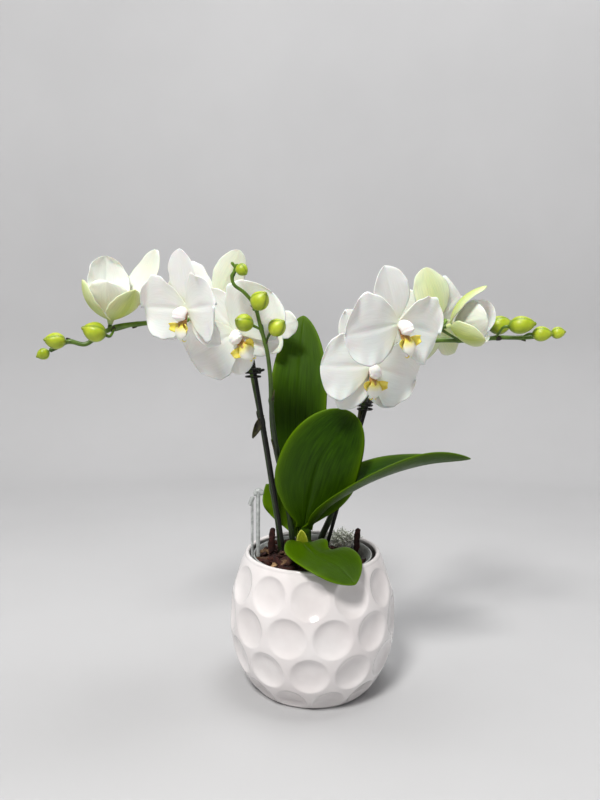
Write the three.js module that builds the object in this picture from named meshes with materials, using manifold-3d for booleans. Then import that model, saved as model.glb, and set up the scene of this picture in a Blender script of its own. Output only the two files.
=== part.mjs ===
// Potted moth orchid (Phalaenopsis) in a dimpled, glazed cover pot.
// A clear nursery pot of bark stands in the cover pot. It holds the crown with its leaves, three
// flower spikes, two support stakes with claw clips, nine flowers, eleven buds and a plant label.
// Millimetres, +Z up, origin on the ground at the pot's axis, front towards -Y.
import * as THREE from 'three';
import { mergeVertices } from 'three/addons/utils/BufferGeometryUtils.js';
import Module from 'manifold-3d';

const wasm = await Module();
wasm.setup();

// ---- driving dimensions ------------------------------------------------------------------------

const GAP = 0.3; // clearance kept between touching pieces

const POT = {
  height: 106.5,
  bellyHeight: 54.6,
  bellyRadius: 65.5,
  lowerReach: 72.2, // half height of the superellipse below the belly
  upperReach: 79.8, // half height of the superellipse above the belly
  roundness: 2.2, // exponent of both superellipses
  footRadius: 42,
  mouthRadius: 50,
  wall: 6,
  floor: 6,
};

const DIMPLE = {
  rows: [87.5, 61, 33.5, 8], // heights of the row centres
  perRow: 12,
  share: 0.88, // how much of the spacing along a row a dimple takes up
  depth: 4.2,
  steepness: 3,
  firstAngle: -93, // degrees, about the pot's axis, of one dimple in the top row
};

const NURSERY_POT = { rim: 104, baseRadius: 33, topRadius: 46.6, wall: 1.1 };

const BARK = { level: 100.5, heap: 4, dip: 7 };
const CHIPS = {
  bark_chip_tall: { size: [6, 3, 22], centre: [-32.5, -3, 114], turns: [0.1, 0.05, 0.3], seed: 1 },
  bark_chip_right: { size: [5, 3, 26], centre: [36, 10, 108], turns: [-0.05, 0.12, 0.2], seed: 4 },
};
const MOSS = { centre: [24, 23, 106], reach: [12, 6, 8] };

const CROWN = { x: -6, y: 1, bottom: 96, top: 131, radius: 6.5 };

const STAKE_RADIUS = 1.5;
const STAKES = {
  left: { foot: [-15.5, -5, 60], top: [-46.4, -5, 257] },
  right: { foot: [-1, 8, 60], top: [43.5, 1, 226] },
};

// Each claw clip: its height on the stake, and where the spike lies from the stake.
const CLIPS = { left: { height: 247, offset: [-1.5, 3] }, right: { height: 221, offset: [-1, 3] } };
const CLAW = { ring: [6.6, 8.2, 6], teeth: [-3, 0, 3], toothRadius: 0.7, gripRadius: 1 };

// The label pick: its outline across and up from the top of the nursery pot's wall, which its slot
// straddles, and its thickness.
const LABEL = {
  wall: [-45.65, -6],
  thickness: 1.2,
  outline: [
    [-2.9, -8], [-0.9, -8], [-0.9, 3], [1.3, 3], [1.3, -1.2], [4.2, -1.2], [4.6, 46], [7, 48],
    [7, 51.5], [5, 53], [1, 53], [0, 47], [-3.6, 46], [-3.6, 40], [-2.9, 39],
  ],
};

// Each leaf: centreline, the way its upper face looks at base and tip, its half width, where it is
// widest, how far its edges fold up and how pointed its tip is. A notch (place, reach, depth) dents
// the edge on one side, and a wave lifts and drops the edges.
const LEAVES = {
  leaf_back_tall: {
    route: [[-7, 4, 118], [-10, 10, 150], [-12, 20, 205], [-10, 31, 252], [-7, 42, 293]],
    faces: [[0, -1, 0.2], [0, -1, 0.25]],
    halfWidth: 23.5,
    widestAt: 0.6,
    fold: 0.1,
    tip: 0.66,
  },
  leaf_front_oval: {
    route: [[-7, -2, 124], [-3, -10, 147], [6, -18, 181], [29, -20, 218]],
    faces: [[0.1, -1, 0.25], [-0.05, -1, 0.1]],
    halfWidth: 31,
    widestAt: 0.46,
    fold: 0.09,
    tip: 0.5,
  },
  leaf_right_arching: {
    route: [[-3, -4, 125], [16, -19, 150], [46, -27, 169], [80, -31, 181], [116, -32, 185]],
    faces: [[-0.6, -0.3, 0.85], [0, 0.32, 1]],
    halfWidth: 24,
    widestAt: 0.46,
    fold: 0.4,
    tip: 0.8,
  },
  leaf_front_drooping: {
    route: [[-8, -2, 110], [-7, -19, 117], [2, -38, 114.5], [18, -52, 109.5], [29, -62, 101]],
    faces: [[0.1, -0.2, 1], [0.25, -0.5, 0.9]],
    halfWidth: 24,
    widestAt: 0.6,
    fold: 0.1,
    tip: 0.72,
    notch: [0.46, 0.12, 0.36],
    wave: { height: 0.1, phase: 7.2 },
  },
  leaf_left_short: {
    route: [[-9, 4, 112], [-20, 13, 131], [-38, 18, 155]],
    faces: [[0.5, -1, 0.2], [0.3, -1, 0.5]],
    halfWidth: 14,
    widestAt: 0.7,
    fold: 0.2,
    tip: 1.1,
  },
  leaf_new: {
    route: [[-6, -5, 108], [-8, -9.5, 114], [-9, -11, 125]],
    faces: [[0, -1, 0.4], [0, -1, 0.2]],
    halfWidth: 4.5,
    widestAt: 0.45,
    fold: 0.4,
    tip: 0.7,
  },
};
const LEAF_THICKNESS = 1.6;

// Each spike: centreline, radius at foot and tip, and the fractions of its length with a node ring.
const SPIKES = {
  left: {
    route: [
      [-25, 1.5, 104], [-27, 1, 125], [-30, 1, 145], [-35, 1, 178], [-39.5, 1, 206],
      [-44, 1, 230], [-49, 1, 253], [-55, 0, 268], [-67, -2, 281], [-83, -5, 286],
      [-106, -11, 287.5], [-127, -17, 284.5], [-145, -22, 282], [-157, -26, 276],
      [-167, -29, 269], [-178, -31, 271], [-187, -32, 266.5], [-191, -33, 264.5],
    ],
    radii: [2.6, 1.6],
    nodes: [0.16, 0.33],
  },
  middle: {
    route: [
      [-15.5, -2, 106], [-17.5, -2, 128], [-21.5, -5, 152], [-27.5, -11, 185], [-31, -20, 216],
      [-32, -28, 247], [-34, -34, 265], [-38, -40, 281], [-42, -43, 296], [-49, -46, 305],
      [-56, -48, 310.5], [-57, -49, 316], [-54.5, -50, 321], [-57, -51, 325],
    ],
    radii: [2.4, 1.1],
    nodes: [0.36, 0.53],
  },
  right: {
    route: [
      [5, 14, 106], [21, 14, 143], [33, 12, 182], [40, 7, 218], [46, 3, 243], [58, -1, 262],
      [74, -5, 269.5], [95, -7, 272], [120, -9, 272], [140, -11, 274], [160, -13, 274],
      [177, -16, 276],
    ],
    radii: [2.7, 1.5],
    nodes: [0.2, 0.38],
  },
};

// Each flower: the spike it grows on and where, its centre, and the way it faces in degrees:
// azimuth 0 looks towards -Y and grows towards +X, roll turns the dorsal sepal clockwise as the
// flower's viewer sees it. A half-open flower has cupped tepals. Other entries say how a flower
// departs from the usual: the turns and lengths of its tepals, or how far they spread.
const FLOWERS = [
  {
    spike: 'left', at: 0.79, centre: [-149.5, -22.7, 289],
    azimuth: 40, elevation: 74, roll: 80, size: 1.1, halfOpen: true,
    dorsal: { length: 60, spread: [62, 2] },
    lateral: { length: 34, spread: [74, 2] },
    lateralTurns: [-160, 84],
    petalLengths: [43, 29],
    petalTurns: [-78, 146],
    spread: { petal: [48, 6] },
  },
  {
    spike: 'left', at: 0.7, approach: 0.1, centre: [-90, -42, 294],
    azimuth: -38, elevation: -14, roll: 6, size: 0.98,
    dorsal: { length: 42 },
    lateralTurns: [-124, 128],
    petalTurns: [-90, 80],
    spread: { sepal: [84, 92], petal: [82, 74] },
  },
  {
    spike: 'left', at: 0.55, centre: [-57.5, -26, 278],
    azimuth: -8, elevation: -14, roll: -37, size: 1.05,
    dorsal: { length: 36 },
    lateral: { length: 31 },
  },
  {
    spike: 'left', at: 0.6, centre: [-76, 12, 303],
    azimuth: 176, elevation: 5, roll: -27, size: 1.05,
    dorsal: { length: 41, halfWidth: 12 },
    lateralTurns: [-150, 150],
    petalTurns: [-104, 104],
  },
  {
    spike: 'left', at: 0.46, approach: 0.1, centre: [-41, 24, 281],
    azimuth: 160, elevation: 8, roll: 4, size: 0.82,
    dorsal: { length: 36 },
    lateral: { length: 28 },
    petal: { halfWidth: 14 },
  },
  {
    spike: 'right', at: 0.5, centre: [41.5, -33, 253],
    azimuth: 20, elevation: -10, roll: 0, size: 1.02,
    dorsal: { turn: -30, length: 45 },
    petalTurns: [-88, 106],
  },
  {
    spike: 'right', at: 0.6, centre: [58.5, -50, 283.5],
    azimuth: 33, elevation: -6, roll: -13, size: 1.04,
    dorsal: { turn: -9, halfWidth: 15 },
    lateralTurns: [-116, 132],
    petalLengths: [46, 39],
    petalTurns: [-88, 114],
  },
  {
    spike: 'right', at: 0.69, centre: [98, 8, 288],
    azimuth: 208, elevation: 5, roll: 12, size: 1.08,
    dorsal: { halfWidth: 16 },
    petalTurns: [-72, 86],
    spread: { sepal: [84, 64], petal: [82, 60] },
  },
  {
    spike: 'right', at: 0.77, centre: [103, -22, 283],
    azimuth: 68, elevation: 12, roll: -12, size: 0.94, halfOpen: true,
    dorsal: { length: 44, spread: [76, -6] },
    lateralTurns: [-122, 140],
    petalLengths: [31, 36],
    spread: { sepal: [78, 6], petal: [44, 4] },
  },
];

// Tepals of a flower of size 1: turn from the dorsal direction, length, half width, and set-back
// behind the petals.
const DORSAL = { kind: 'sepal', turn: 0, length: 39, halfWidth: 13.5, widestAt: 0.5, setBack: 1.9 };
const LATERAL = { kind: 'sepal', length: 37, halfWidth: 12.5, widestAt: 0.5, setBack: 1.9 };
const LATERAL_TURNS = [-144, 144];
const PETAL = { kind: 'petal', halfWidth: 24, widestAt: 0.56, setBack: 0 };
const PETAL_LENGTHS = [40, 40];
const PETAL_TURNS = [-82, 82];
const TEPAL_TIP = { sepal: 0.62, petal: 0.5 };
const TEPAL_THICKNESS = 0.9;
const KNOB_LENGTH = 5; // from a flower's centre back to the end of its pedicel

// How a flower spreads: degrees between a tepal and the flower's axis at its base and tip, how much
// of its full width it shows, and how far its edges curl in.
const OPEN = { sepal: [84, 96], petal: [84, 96], width: { sepal: 1, petal: 1 }, cup: 0.1 };
const HALF_OPEN = { sepal: [86, 8], petal: [48, 4], width: { sepal: 1.05, petal: 0.62 }, cup: 0.32 };

// The lip and column of a flower of size 1, as places (right, up, forward) from a point just in
// front of its centre, which lies further forward in a half-open flower.
const LIP = {
  forward: 2.4,
  forwardHalfOpen: 8,
  scaleHalfOpen: 0.25,
  thickness: 1.1,
  column: { route: [[0, -1, 0], [0, -2.4, 4], [0, -7, 7]], radii: [2.4, 3.8] },
  throat: { route: [[0, -2, 1.2], [0, -7, 2], [0, -12.4, 3.8]], radii: [2.2, 2.8] },
};

// Each bud: its spike, place along it, centre, axis, length and greatest radius.
const BUDS = {
  bud_left_1: ['left', 0.84, [-157.5, -36.5, 278], [-0.85, -0.4, 0.3], 17, 7.3],
  bud_left_2: ['left', 0.95, [-184.5, -40, 271.5], [-0.8, -0.6, 0.1], 15, 6],
  bud_left_3: ['left', 1, [-195.8, -34.5, 262], [-0.8, -0.2, -0.4], 9.5, 4.2],
  bud_middle_1: ['middle', 0.72, [-26, -42, 281], [0.6, -0.5, 0.5], 14.5, 6.4],
  bud_middle_2: ['middle', 0.765, [-49, -50, 284], [-0.6, -0.6, 0.2], 14.5, 6.3],
  bud_middle_3: ['middle', 0.83, [-37.5, -53, 299], [0.5, -0.5, 0.6], 15, 6.6],
  bud_middle_4: ['middle', 0.955, [-49.5, -55, 319.5], [0.55, -0.5, -0.5], 10, 4.2],
  bud_right_1: ['right', 0.82, [143, -6, 283.5], [0.9, 0.1, 0.25], 18, 7.2],
  bud_right_2: ['right', 0.865, [153, -25, 283], [0.95, -0.25, 0.1], 19, 6.6],
  bud_right_3: ['right', 0.93, [169, -22.5, 276.5], [0.95, -0.2, 0], 14.5, 5.6],
  bud_right_4: ['right', 1, [183, -17, 277.5], [1, -0.1, 0.15], 10.5, 4.5],
};

// ---- materials -----------------------------------------------------------------------------------

const MATERIALS = {
  glaze: { color: 0xe9e8e6, roughness: 0.2 },
  clearPlastic: { color: 0xb9bdb8, roughness: 0.25 },
  bark: { color: 0x4a2a1c, roughness: 0.9 },
  moss: { color: 0x8f9a86, roughness: 0.95 },
  leaf: { color: 0x2f5410, roughness: 0.45 },
  youngLeaf: { color: 0x8fa02a, roughness: 0.45 },
  spike: { color: 0x2c4416, roughness: 0.55 },
  bud: { color: 0xa9bf2c, roughness: 0.5 },
  tepal: { color: 0xf2f3ee, roughness: 0.55 },
  lip: { color: 0xe8d46a, roughness: 0.5 },
  blackPlastic: { color: 0x15140f, roughness: 0.45 },
};

// ---- solids --------------------------------------------------------------------------------------

const toVector = (point) => new THREE.Vector3(...point);
const radians = THREE.MathUtils.degToRad;
const { clamp, lerp } = THREE.MathUtils;

/** A manifold solid of a closed three.js geometry. */
function solid(geometry) {
  const bare = geometry.clone();
  bare.deleteAttribute('normal');
  bare.deleteAttribute('uv');
  const merged = mergeVertices(bare, 1e-4);
  const corners = merged.index.array;
  const triVerts = [];
  for (let i = 0; i < corners.length; i += 3) {
    const [a, b, c] = [corners[i], corners[i + 1], corners[i + 2]];
    if (a !== b && b !== c && c !== a) triVerts.push(a, b, c);
  }
  const vertProperties = merged.attributes.position.array;
  return new wasm.Manifold(
    new wasm.Mesh({ numProp: 3, vertProperties, triVerts: new Uint32Array(triVerts) }),
  );
}

/** The three.js geometry of a manifold solid. */
function geometryOf(body) {
  const mesh = body.getMesh();
  const geometry = new THREE.BufferGeometry();
  geometry.setAttribute('position', new THREE.BufferAttribute(mesh.vertProperties, 3));
  geometry.setIndex(new THREE.BufferAttribute(mesh.triVerts, 1));
  geometry.computeVertexNormals();
  return geometry;
}

/** All the bodies joined into one. */
const joined = (bodies) => bodies.reduce((whole, body) => whole.add(body));

/** What is left of a body after the cutters, without any loose crumbs. */
function trimmed(body, cutters) {
  const rest = cutters.reduce((left, cutter) => left.subtract(cutter), body);
  return rest.decompose().sort((a, b) => b.volume() - a.volume())[0];
}

/** Unit normal of a surface(u, v), kept off its ends, where it may close to a point. */
function normalAt(surface, u, v) {
  const step = 0.02;
  const near = clamp(u, 0.05, 0.95);
  const along = surface(near + step, v).sub(surface(near - step, v));
  const across = surface(near, v + step).sub(surface(near, v - step));
  return along.cross(across).normalize();
}

/** A closed sheet about surface(u, v), with u from 0 to 1 and v from -1 to 1. */
function slab(surface, thickness, lengthSpans, widthSpans) {
  const geometry = new THREE.BoxGeometry(1, 1, 1, lengthSpans, widthSpans, 1);
  const position = geometry.attributes.position;
  for (let i = 0; i < position.count; i++) {
    const u = position.getX(i) + 0.5;
    const v = position.getY(i) * 2;
    const offset = (Math.sign(position.getZ(i)) * thickness) / 2;
    const point = surface(u, v).addScaledVector(normalAt(surface, u, v), offset);
    position.setXYZ(i, point.x, point.y, point.z);
  }
  return solid(geometry);
}

/** A closed round bar along a curve, with radiusAt(t) for t from 0 to 1. */
function bar(curve, radiusAt, sides, spans) {
  const geometry = new THREE.CylinderGeometry(1, 1, 1, sides, spans);
  const { normals, binormals } = curve.computeFrenetFrames(spans, false);
  const position = geometry.attributes.position;
  for (let i = 0; i < position.count; i++) {
    const t = position.getY(i) + 0.5;
    const ring = Math.round(t * spans);
    const radius = radiusAt(t);
    const point = curve
      .getPointAt(t)
      .addScaledVector(normals[ring], position.getX(i) * radius)
      .addScaledVector(binormals[ring], -position.getZ(i) * radius);
    position.setXYZ(i, point.x, point.y, point.z);
  }
  return solid(geometry);
}

const curveThrough = (points) => new THREE.CatmullRomCurve3(points.map(toVector), false, 'centripetal');

/** A straight bar between two points. */
function rod(from, to, radius, sides = 8) {
  return bar(new THREE.LineCurve3(toVector(from), toVector(to)), () => radius, sides, 1);
}

/** A solid of revolution about Z from a profile of [radius, height] pairs, listed from the foot. */
function turned(profile, segments) {
  const points = profile.map(([radius, height]) => new THREE.Vector2(radius, height));
  return new THREE.LatheGeometry(points, segments).rotateX(Math.PI / 2);
}

/** Outline of a blade: 0 at the base, 1 where it is widest, 0 at a tip that is round at 0.5. */
function outline(u, widestAt, tip) {
  if (u < widestAt) return Math.sin((Math.PI / 2) * (u / widestAt)) ** 0.9;
  return Math.max(0, 1 - ((u - widestAt) / (1 - widestAt)) ** 2.2) ** tip;
}

// ---- cover pot and nursery pot -------------------------------------------------------------------

/** Outer radius of the cover pot at a height, before the dimples. */
function potRadius(height) {
  const reach = height < POT.bellyHeight ? POT.lowerReach : POT.upperReach;
  const rise = Math.abs(height - POT.bellyHeight) / reach;
  return POT.bellyRadius * (1 - rise ** POT.roundness) ** (1 / POT.roundness);
}

/** How far the dimples pull in the pot's outside at a turn (radians) and height. */
function dimpleDepth(turn, height) {
  const pitch = (2 * Math.PI) / DIMPLE.perRow;
  let depth = 0;
  DIMPLE.rows.forEach((rowHeight, row) => {
    const start = radians(DIMPLE.firstAngle) + (row % 2) * (pitch / 2);
    const steps = (turn - start) / pitch;
    const across = (steps - Math.round(steps)) * pitch * potRadius(height);
    const radius = (DIMPLE.share * pitch * potRadius(rowHeight)) / 2;
    const distance = Math.hypot(across, height - rowHeight) / radius;
    if (distance < 1) depth = Math.max(depth, DIMPLE.depth * (1 - distance ** DIMPLE.steepness));
  });
  return depth * clamp((height - 1) / 6, 0, 1);
}

function coverPot() {
  const foot = [[0, 0], [POT.footRadius, 0]];
  const outside = [];
  for (let step = 0; step <= 14; step++) {
    const height = lerp(2, POT.height - 2.2, step / 14);
    outside.push([potRadius(height), height]);
  }
  const lip = [[POT.mouthRadius + 1.8, POT.height - 0.5], [POT.mouthRadius + 0.9, POT.height]];
  const inside = [[POT.mouthRadius, POT.height - 0.7]];
  for (let step = 1; step <= 5; step++) {
    const height = lerp(POT.height - 6, POT.floor + 5, step / 5);
    inside.push([potRadius(height) - lerp(2.6, POT.wall, Math.min(1, step / 2)), height]);
  }
  inside.push([POT.footRadius - 4, POT.floor], [0, POT.floor]);
  const profile = [...foot, ...outside, ...lip, ...inside];
  const geometry = turned(profile, 48);
  const position = geometry.attributes.position;
  for (let i = 0; i < position.count; i++) {
    const place = (i % profile.length) - foot.length;
    if (place < 0 || place >= outside.length) continue;
    const turn = Math.atan2(position.getY(i), position.getX(i));
    const radius = Math.hypot(position.getX(i), position.getY(i));
    const scale = 1 - dimpleDepth(turn, position.getZ(i)) / radius;
    position.setXY(i, position.getX(i) * scale, position.getY(i) * scale);
  }
  return solid(geometry);
}

/** Inner radius of the nursery pot at a height. */
function nurseryRadius(height) {
  const rise = (height - POT.floor) / (NURSERY_POT.rim - POT.floor);
  return lerp(NURSERY_POT.baseRadius, NURSERY_POT.topRadius, rise) - NURSERY_POT.wall;
}

function nurseryPot() {
  const { rim, wall } = NURSERY_POT;
  const bottom = POT.floor + GAP;
  const profile = [
    [0, bottom],
    [nurseryRadius(bottom) + wall, bottom],
    [nurseryRadius(rim) + wall, rim],
    [nurseryRadius(rim), rim],
    [nurseryRadius(bottom + wall), bottom + wall],
    [0, bottom + wall],
  ];
  return solid(turned(profile, 32));
}

// ---- bark ----------------------------------------------------------------------------------------

/** Height of the bark's top: heaped about the crown, lower on the right, and bumpy. */
function barkHeight(x, y) {
  const fromCrown = Math.hypot(x - CROWN.x, y - CROWN.y);
  const heap = BARK.heap * Math.exp(-((fromCrown / 18) ** 2));
  const dip = BARK.dip * clamp((x - 8) / 24, 0, 1);
  const bumps = 1.1 * Math.sin(x * 0.42 + 1.3) * Math.sin(y * 0.5 + 0.4) + 0.7 * Math.sin((x + y) * 0.9);
  return BARK.level + heap - dip + bumps;
}

/** The bark bed, or with `raise` a copy that clears whatever stands on it. */
function barkBed(raise = 0) {
  const bottom = POT.floor + NURSERY_POT.wall + 2 * GAP;
  const rings = [1, 0.8, 0.6, 0.4, 0.2, 0];
  const reach = (height) => nurseryRadius(height) - GAP;
  const profile = [[0, bottom], [reach(bottom), bottom]];
  rings.forEach((ring) => profile.push([reach(BARK.level) * ring, BARK.level]));
  const geometry = turned(profile, 28);
  const position = geometry.attributes.position;
  for (let i = 0; i < position.count; i++) {
    if (position.getZ(i) < BARK.level - 1) continue;
    const height = barkHeight(position.getX(i), position.getY(i)) + raise;
    const shrink = Math.min(1, reach(height) / reach(BARK.level));
    position.setXYZ(i, position.getX(i) * shrink, position.getY(i) * shrink, height);
  }
  return solid(geometry);
}

/** A broken bark chip: a box with its corners pushed about. */
function barkChip({ size, centre, turns, seed }) {
  const geometry = new THREE.BoxGeometry(...size, 2, 2, 2);
  const position = geometry.attributes.position;
  for (let i = 0; i < position.count; i++) {
    const [x, y, z] = [position.getX(i), position.getY(i), position.getZ(i)];
    const push = 0.12 * Math.sin(seed + 3.1 * x + 1.7 * y + 2.3 * z);
    position.setXYZ(i, x * (1 + push), y * (1 - push), z * (1 + push * 0.6));
  }
  geometry.rotateX(turns[0]).rotateY(turns[1]).rotateZ(turns[2]);
  geometry.translate(...centre);
  return solid(geometry);
}

/** A low tuft of sphagnum moss. */
function mossTuft() {
  const geometry = new THREE.SphereGeometry(1, 10, 7).rotateX(Math.PI / 2);
  geometry.scale(...MOSS.reach).translate(...MOSS.centre);
  return solid(geometry);
}

// ---- leaves and crown ------------------------------------------------------------------------------

function crown(extra = 0) {
  const { x, y, bottom, top, radius } = CROWN;
  const axis = curveThrough([[x, y, bottom], [x, y, (bottom + top) / 2], [x, y, top]]);
  return bar(axis, (t) => lerp(radius, radius * 0.62, t) + extra, 12, 4);
}

/** A strap leaf about its midrib, folded up along it. */
function leaf({ route, faces, halfWidth, widestAt, fold, tip, notch, wave }, extra = 0) {
  const midrib = curveThrough(route);
  const [faceAtBase, faceAtTip] = faces.map(toVector);
  const surface = (s, v) => {
    const u = clamp(1 - (1 - s) ** 1.3, 0, 1);
    const face = faceAtBase.clone().lerp(faceAtTip, u);
    const across = midrib.getTangentAt(u).cross(face).normalize();
    const up = across.clone().cross(midrib.getTangentAt(u)).normalize();
    let width = (halfWidth + extra) * Math.max(outline(u, widestAt, tip), u < 0.5 ? 0.22 : 0.02);
    if (notch) width *= 1 - notch[2] * Math.exp(-(((u - notch[0]) / notch[1]) ** 2)) * clamp(-2 * v, 0, 1);
    let rise = fold * width * v * v * (1 + 2 * Math.exp(-u * 9));
    if (wave) {
      const swell = Math.sin(9 * u + wave.phase + 1.3 * v) * Math.sin(Math.PI * u);
      rise += wave.height * halfWidth * v * v * swell;
    }
    return midrib.getPointAt(u).addScaledVector(across, width * v).addScaledVector(up, rise);
  };
  return slab(surface, LEAF_THICKNESS + 2 * extra, 12, 4);
}

// ---- spikes ----------------------------------------------------------------------------------------

/** The three directions of a flower: its axis, the way its dorsal sepal points, and across. */
function flowerFrame({ azimuth, elevation, roll }) {
  const [turn, tilt, spin] = [radians(azimuth), radians(elevation), radians(roll)];
  const axis = new THREE.Vector3(
    Math.sin(turn) * Math.cos(tilt),
    -Math.cos(turn) * Math.cos(tilt),
    Math.sin(tilt),
  );
  const level = new THREE.Vector3(Math.cos(turn), Math.sin(turn), 0);
  const upright = axis.clone().cross(level);
  const dorsal = upright.clone().multiplyScalar(Math.cos(spin)).addScaledVector(level, Math.sin(spin));
  const across = level.clone().multiplyScalar(Math.cos(spin)).addScaledVector(upright, -Math.sin(spin));
  return { axis, dorsal, across };
}

/** The stalk from a spike to a flower or a bud, ending just short of it. */
function pedicel(from, end, direction, radius, approach = 0.2) {
  const bend = end.clone().addScaledVector(direction, -approach * from.distanceTo(end));
  const curve = new THREE.CatmullRomCurve3([from, bend, end], false, 'centripetal');
  return bar(curve, (t) => radius * lerp(0.9, 1.15, t), 5, 3);
}

/** A small sheath that clasps the spike at a node and points along it. */
function nodeSheath(curve, at, radius) {
  const from = curve.getPointAt(at);
  const to = curve.getPointAt(Math.min(1, at + 0.022));
  return bar(new THREE.LineCurve3(from, to), (t) => lerp(radius + 0.9, radius + 0.1, t), 6, 1);
}

function spike(name) {
  const { route, radii, nodes } = SPIKES[name];
  const curve = curveThrough(route);
  const radiusAt = (t) => lerp(radii[0], radii[1], t);
  const parts = [bar(curve, radiusAt, 6, 26)];
  nodes.forEach((at) => parts.push(nodeSheath(curve, at, radiusAt(at))));
  FLOWERS.filter((flower) => flower.spike === name).forEach((flower) => {
    const { axis } = flowerFrame(flower);
    const end = toVector(flower.centre).addScaledVector(axis, -(KNOB_LENGTH * flower.size + GAP));
    parts.push(pedicel(curve.getPointAt(flower.at), end, axis, 1.2, flower.approach));
  });
  Object.values(BUDS).forEach(([grownOn, at, centre, direction, length]) => {
    if (grownOn !== name || at === 1) return;
    const axis = toVector(direction).normalize();
    const end = toVector(centre).addScaledVector(axis, -(length / 2 + GAP));
    parts.push(pedicel(curve.getPointAt(at), end, axis, 1));
  });
  return joined(parts);
}

/** A bud: an egg with its blunt end on the stalk and a soft point. */
function bud([, , centre, direction, length, radius]) {
  const along = toVector(direction).normalize().multiplyScalar(length / 2);
  const from = toVector(centre).sub(along);
  const to = toVector(centre).add(along);
  const profile = (t) => radius * Math.max(0.14, Math.sin(Math.PI * t ** 0.85) ** 0.62);
  return bar(new THREE.LineCurve3(from, to), profile, 8, 6);
}

// ---- flowers ---------------------------------------------------------------------------------------

/** One tepal: a sheet that leaves the centre at one angle from the axis and curls to another. */
function tepal(flower, { kind, turn, length, halfWidth, widestAt, setBack, spread: ownSpread }) {
  const { axis, dorsal, across } = flowerFrame(flower);
  const spread = { ...(flower.halfOpen ? HALF_OPEN : OPEN), ...flower.spread };
  const spin = radians(turn);
  const outward = dorsal.clone().multiplyScalar(Math.cos(spin)).addScaledVector(across, Math.sin(spin));
  const sideways = across.clone().multiplyScalar(Math.cos(spin)).addScaledVector(dorsal, -Math.sin(spin));
  const [start, end] = (ownSpread ?? spread[kind]).map(radians);
  const arc = (length * flower.size) / (end - start);
  const half = halfWidth * flower.size * spread.width[kind];
  const centre = toVector(flower.centre).addScaledVector(axis, -setBack * flower.size);
  const overlap = kind === 'petal' ? 1.2 : -0.6;
  const surface = (s, v) => {
    const u = clamp(1 - (1 - s) ** 1.35, 0, 1);
    const angle = lerp(start, end, u);
    const width = half * Math.max(outline(u, widestAt, TEPAL_TIP[kind]), u < 0.5 ? 0.12 : 0.02);
    const inward = axis.clone().multiplyScalar(Math.sin(angle)).addScaledVector(outward, -Math.cos(angle));
    return centre
      .clone()
      .addScaledVector(outward, arc * (Math.cos(start) - Math.cos(angle)) - overlap)
      .addScaledVector(axis, arc * (Math.sin(angle) - Math.sin(start)))
      .addScaledVector(sideways, width * v)
      .addScaledVector(inward, spread.cup * width * v * v);
  };
  return slab(surface, TEPAL_THICKNESS, 5, kind === 'petal' ? 3 : 2);
}

/** The dorsal sepal, both lateral sepals and the knob that the pedicel meets. */
function sepals(flower) {
  const { axis } = flowerFrame(flower);
  const centre = toVector(flower.centre);
  const front = centre.clone().addScaledVector(axis, -1.2 * flower.size);
  const back = centre.clone().addScaledVector(axis, -KNOB_LENGTH * flower.size);
  const knob = bar(new THREE.LineCurve3(back, front), (t) => lerp(1.5, 2.6, t) * flower.size, 6, 1);
  const turns = flower.lateralTurns ?? LATERAL_TURNS;
  const laterals = turns.map((turn) => tepal(flower, { ...LATERAL, ...flower.lateral, turn }));
  return joined([knob, tepal(flower, { ...DORSAL, ...flower.dorsal }), ...laterals]);
}

/** The two broad petals, joined at the centre. */
function petals(flower) {
  const turns = flower.petalTurns ?? PETAL_TURNS;
  const lengths = flower.petalLengths ?? PETAL_LENGTHS;
  return joined(
    turns.map((turn, side) => tepal(flower, { ...PETAL, ...flower.petal, turn, length: lengths[side] })),
  );
}

/** The column, arched over a lip of a tongue between two raised side lobes. */
function lip(flower) {
  const { axis, dorsal, across } = flowerFrame(flower);
  const scale = flower.size * (flower.halfOpen ? LIP.scaleHalfOpen : 1);
  const start = flower.halfOpen ? LIP.forwardHalfOpen : LIP.forward;
  const place = (right, up, forward) =>
    toVector(flower.centre)
      .addScaledVector(across, right * scale)
      .addScaledVector(dorsal, up * scale)
      .addScaledVector(axis, start + forward * scale);
  const stem = ({ route, radii }) => {
    const curve = new THREE.CatmullRomCurve3(route.map((point) => place(...point)));
    return bar(curve, (t) => lerp(...radii, t) * scale, 6, 2);
  };
  const tongue = (s, v) => {
    const halfWidth = lerp(2.6, 5, Math.sin(Math.PI * s));
    return place(v * halfWidth, lerp(-4, -22, s), 0.8 + 7.4 * Math.sin(s * 2.2));
  };
  const sideLobe = (hand) => (s, v) => {
    const height = 3.4 * Math.sin(0.6 + 1.9 * s);
    return place(hand * (1 + 8.2 * s), -13.8 + height * v + 2.6 * s, 1.8 + 5.8 * s);
  };
  const sheets = [tongue, sideLobe(1), sideLobe(-1)];
  return joined([
    stem(LIP.column),
    stem(LIP.throat),
    ...sheets.map((surface) => slab(surface, LIP.thickness, 3, 2)),
  ]);
}

// ---- supports and label ------------------------------------------------------------------------------

/** A claw clip: a ring round spike and stake with three teeth and two finger grips. */
function clawClip(name) {
  const { foot, top } = STAKES[name];
  const { height, offset } = CLIPS[name];
  const share = (height - foot[2]) / (top[2] - foot[2]);
  const x = lerp(foot[0], top[0], share) + offset[0];
  const y = lerp(foot[1], top[1], share) + offset[1];
  const from = (right, back, up) => [x + right, y + back, height + up];
  const ring = solid(new THREE.TorusGeometry(1, 0.16, 4, 14).scale(...CLAW.ring));
  const parts = [ring.translate(x, y, height)];
  for (const lift of CLAW.teeth) {
    parts.push(rod(from(0, -8, lift * 0.3), from(-1, -11, lift), CLAW.toothRadius, 5));
  }
  for (const side of [-1, 1]) {
    parts.push(rod(from(side * 3, 7.3, 0), from(side * 8, 9.5, 2), CLAW.gripRadius, 5));
  }
  return joined(parts);
}

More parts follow.
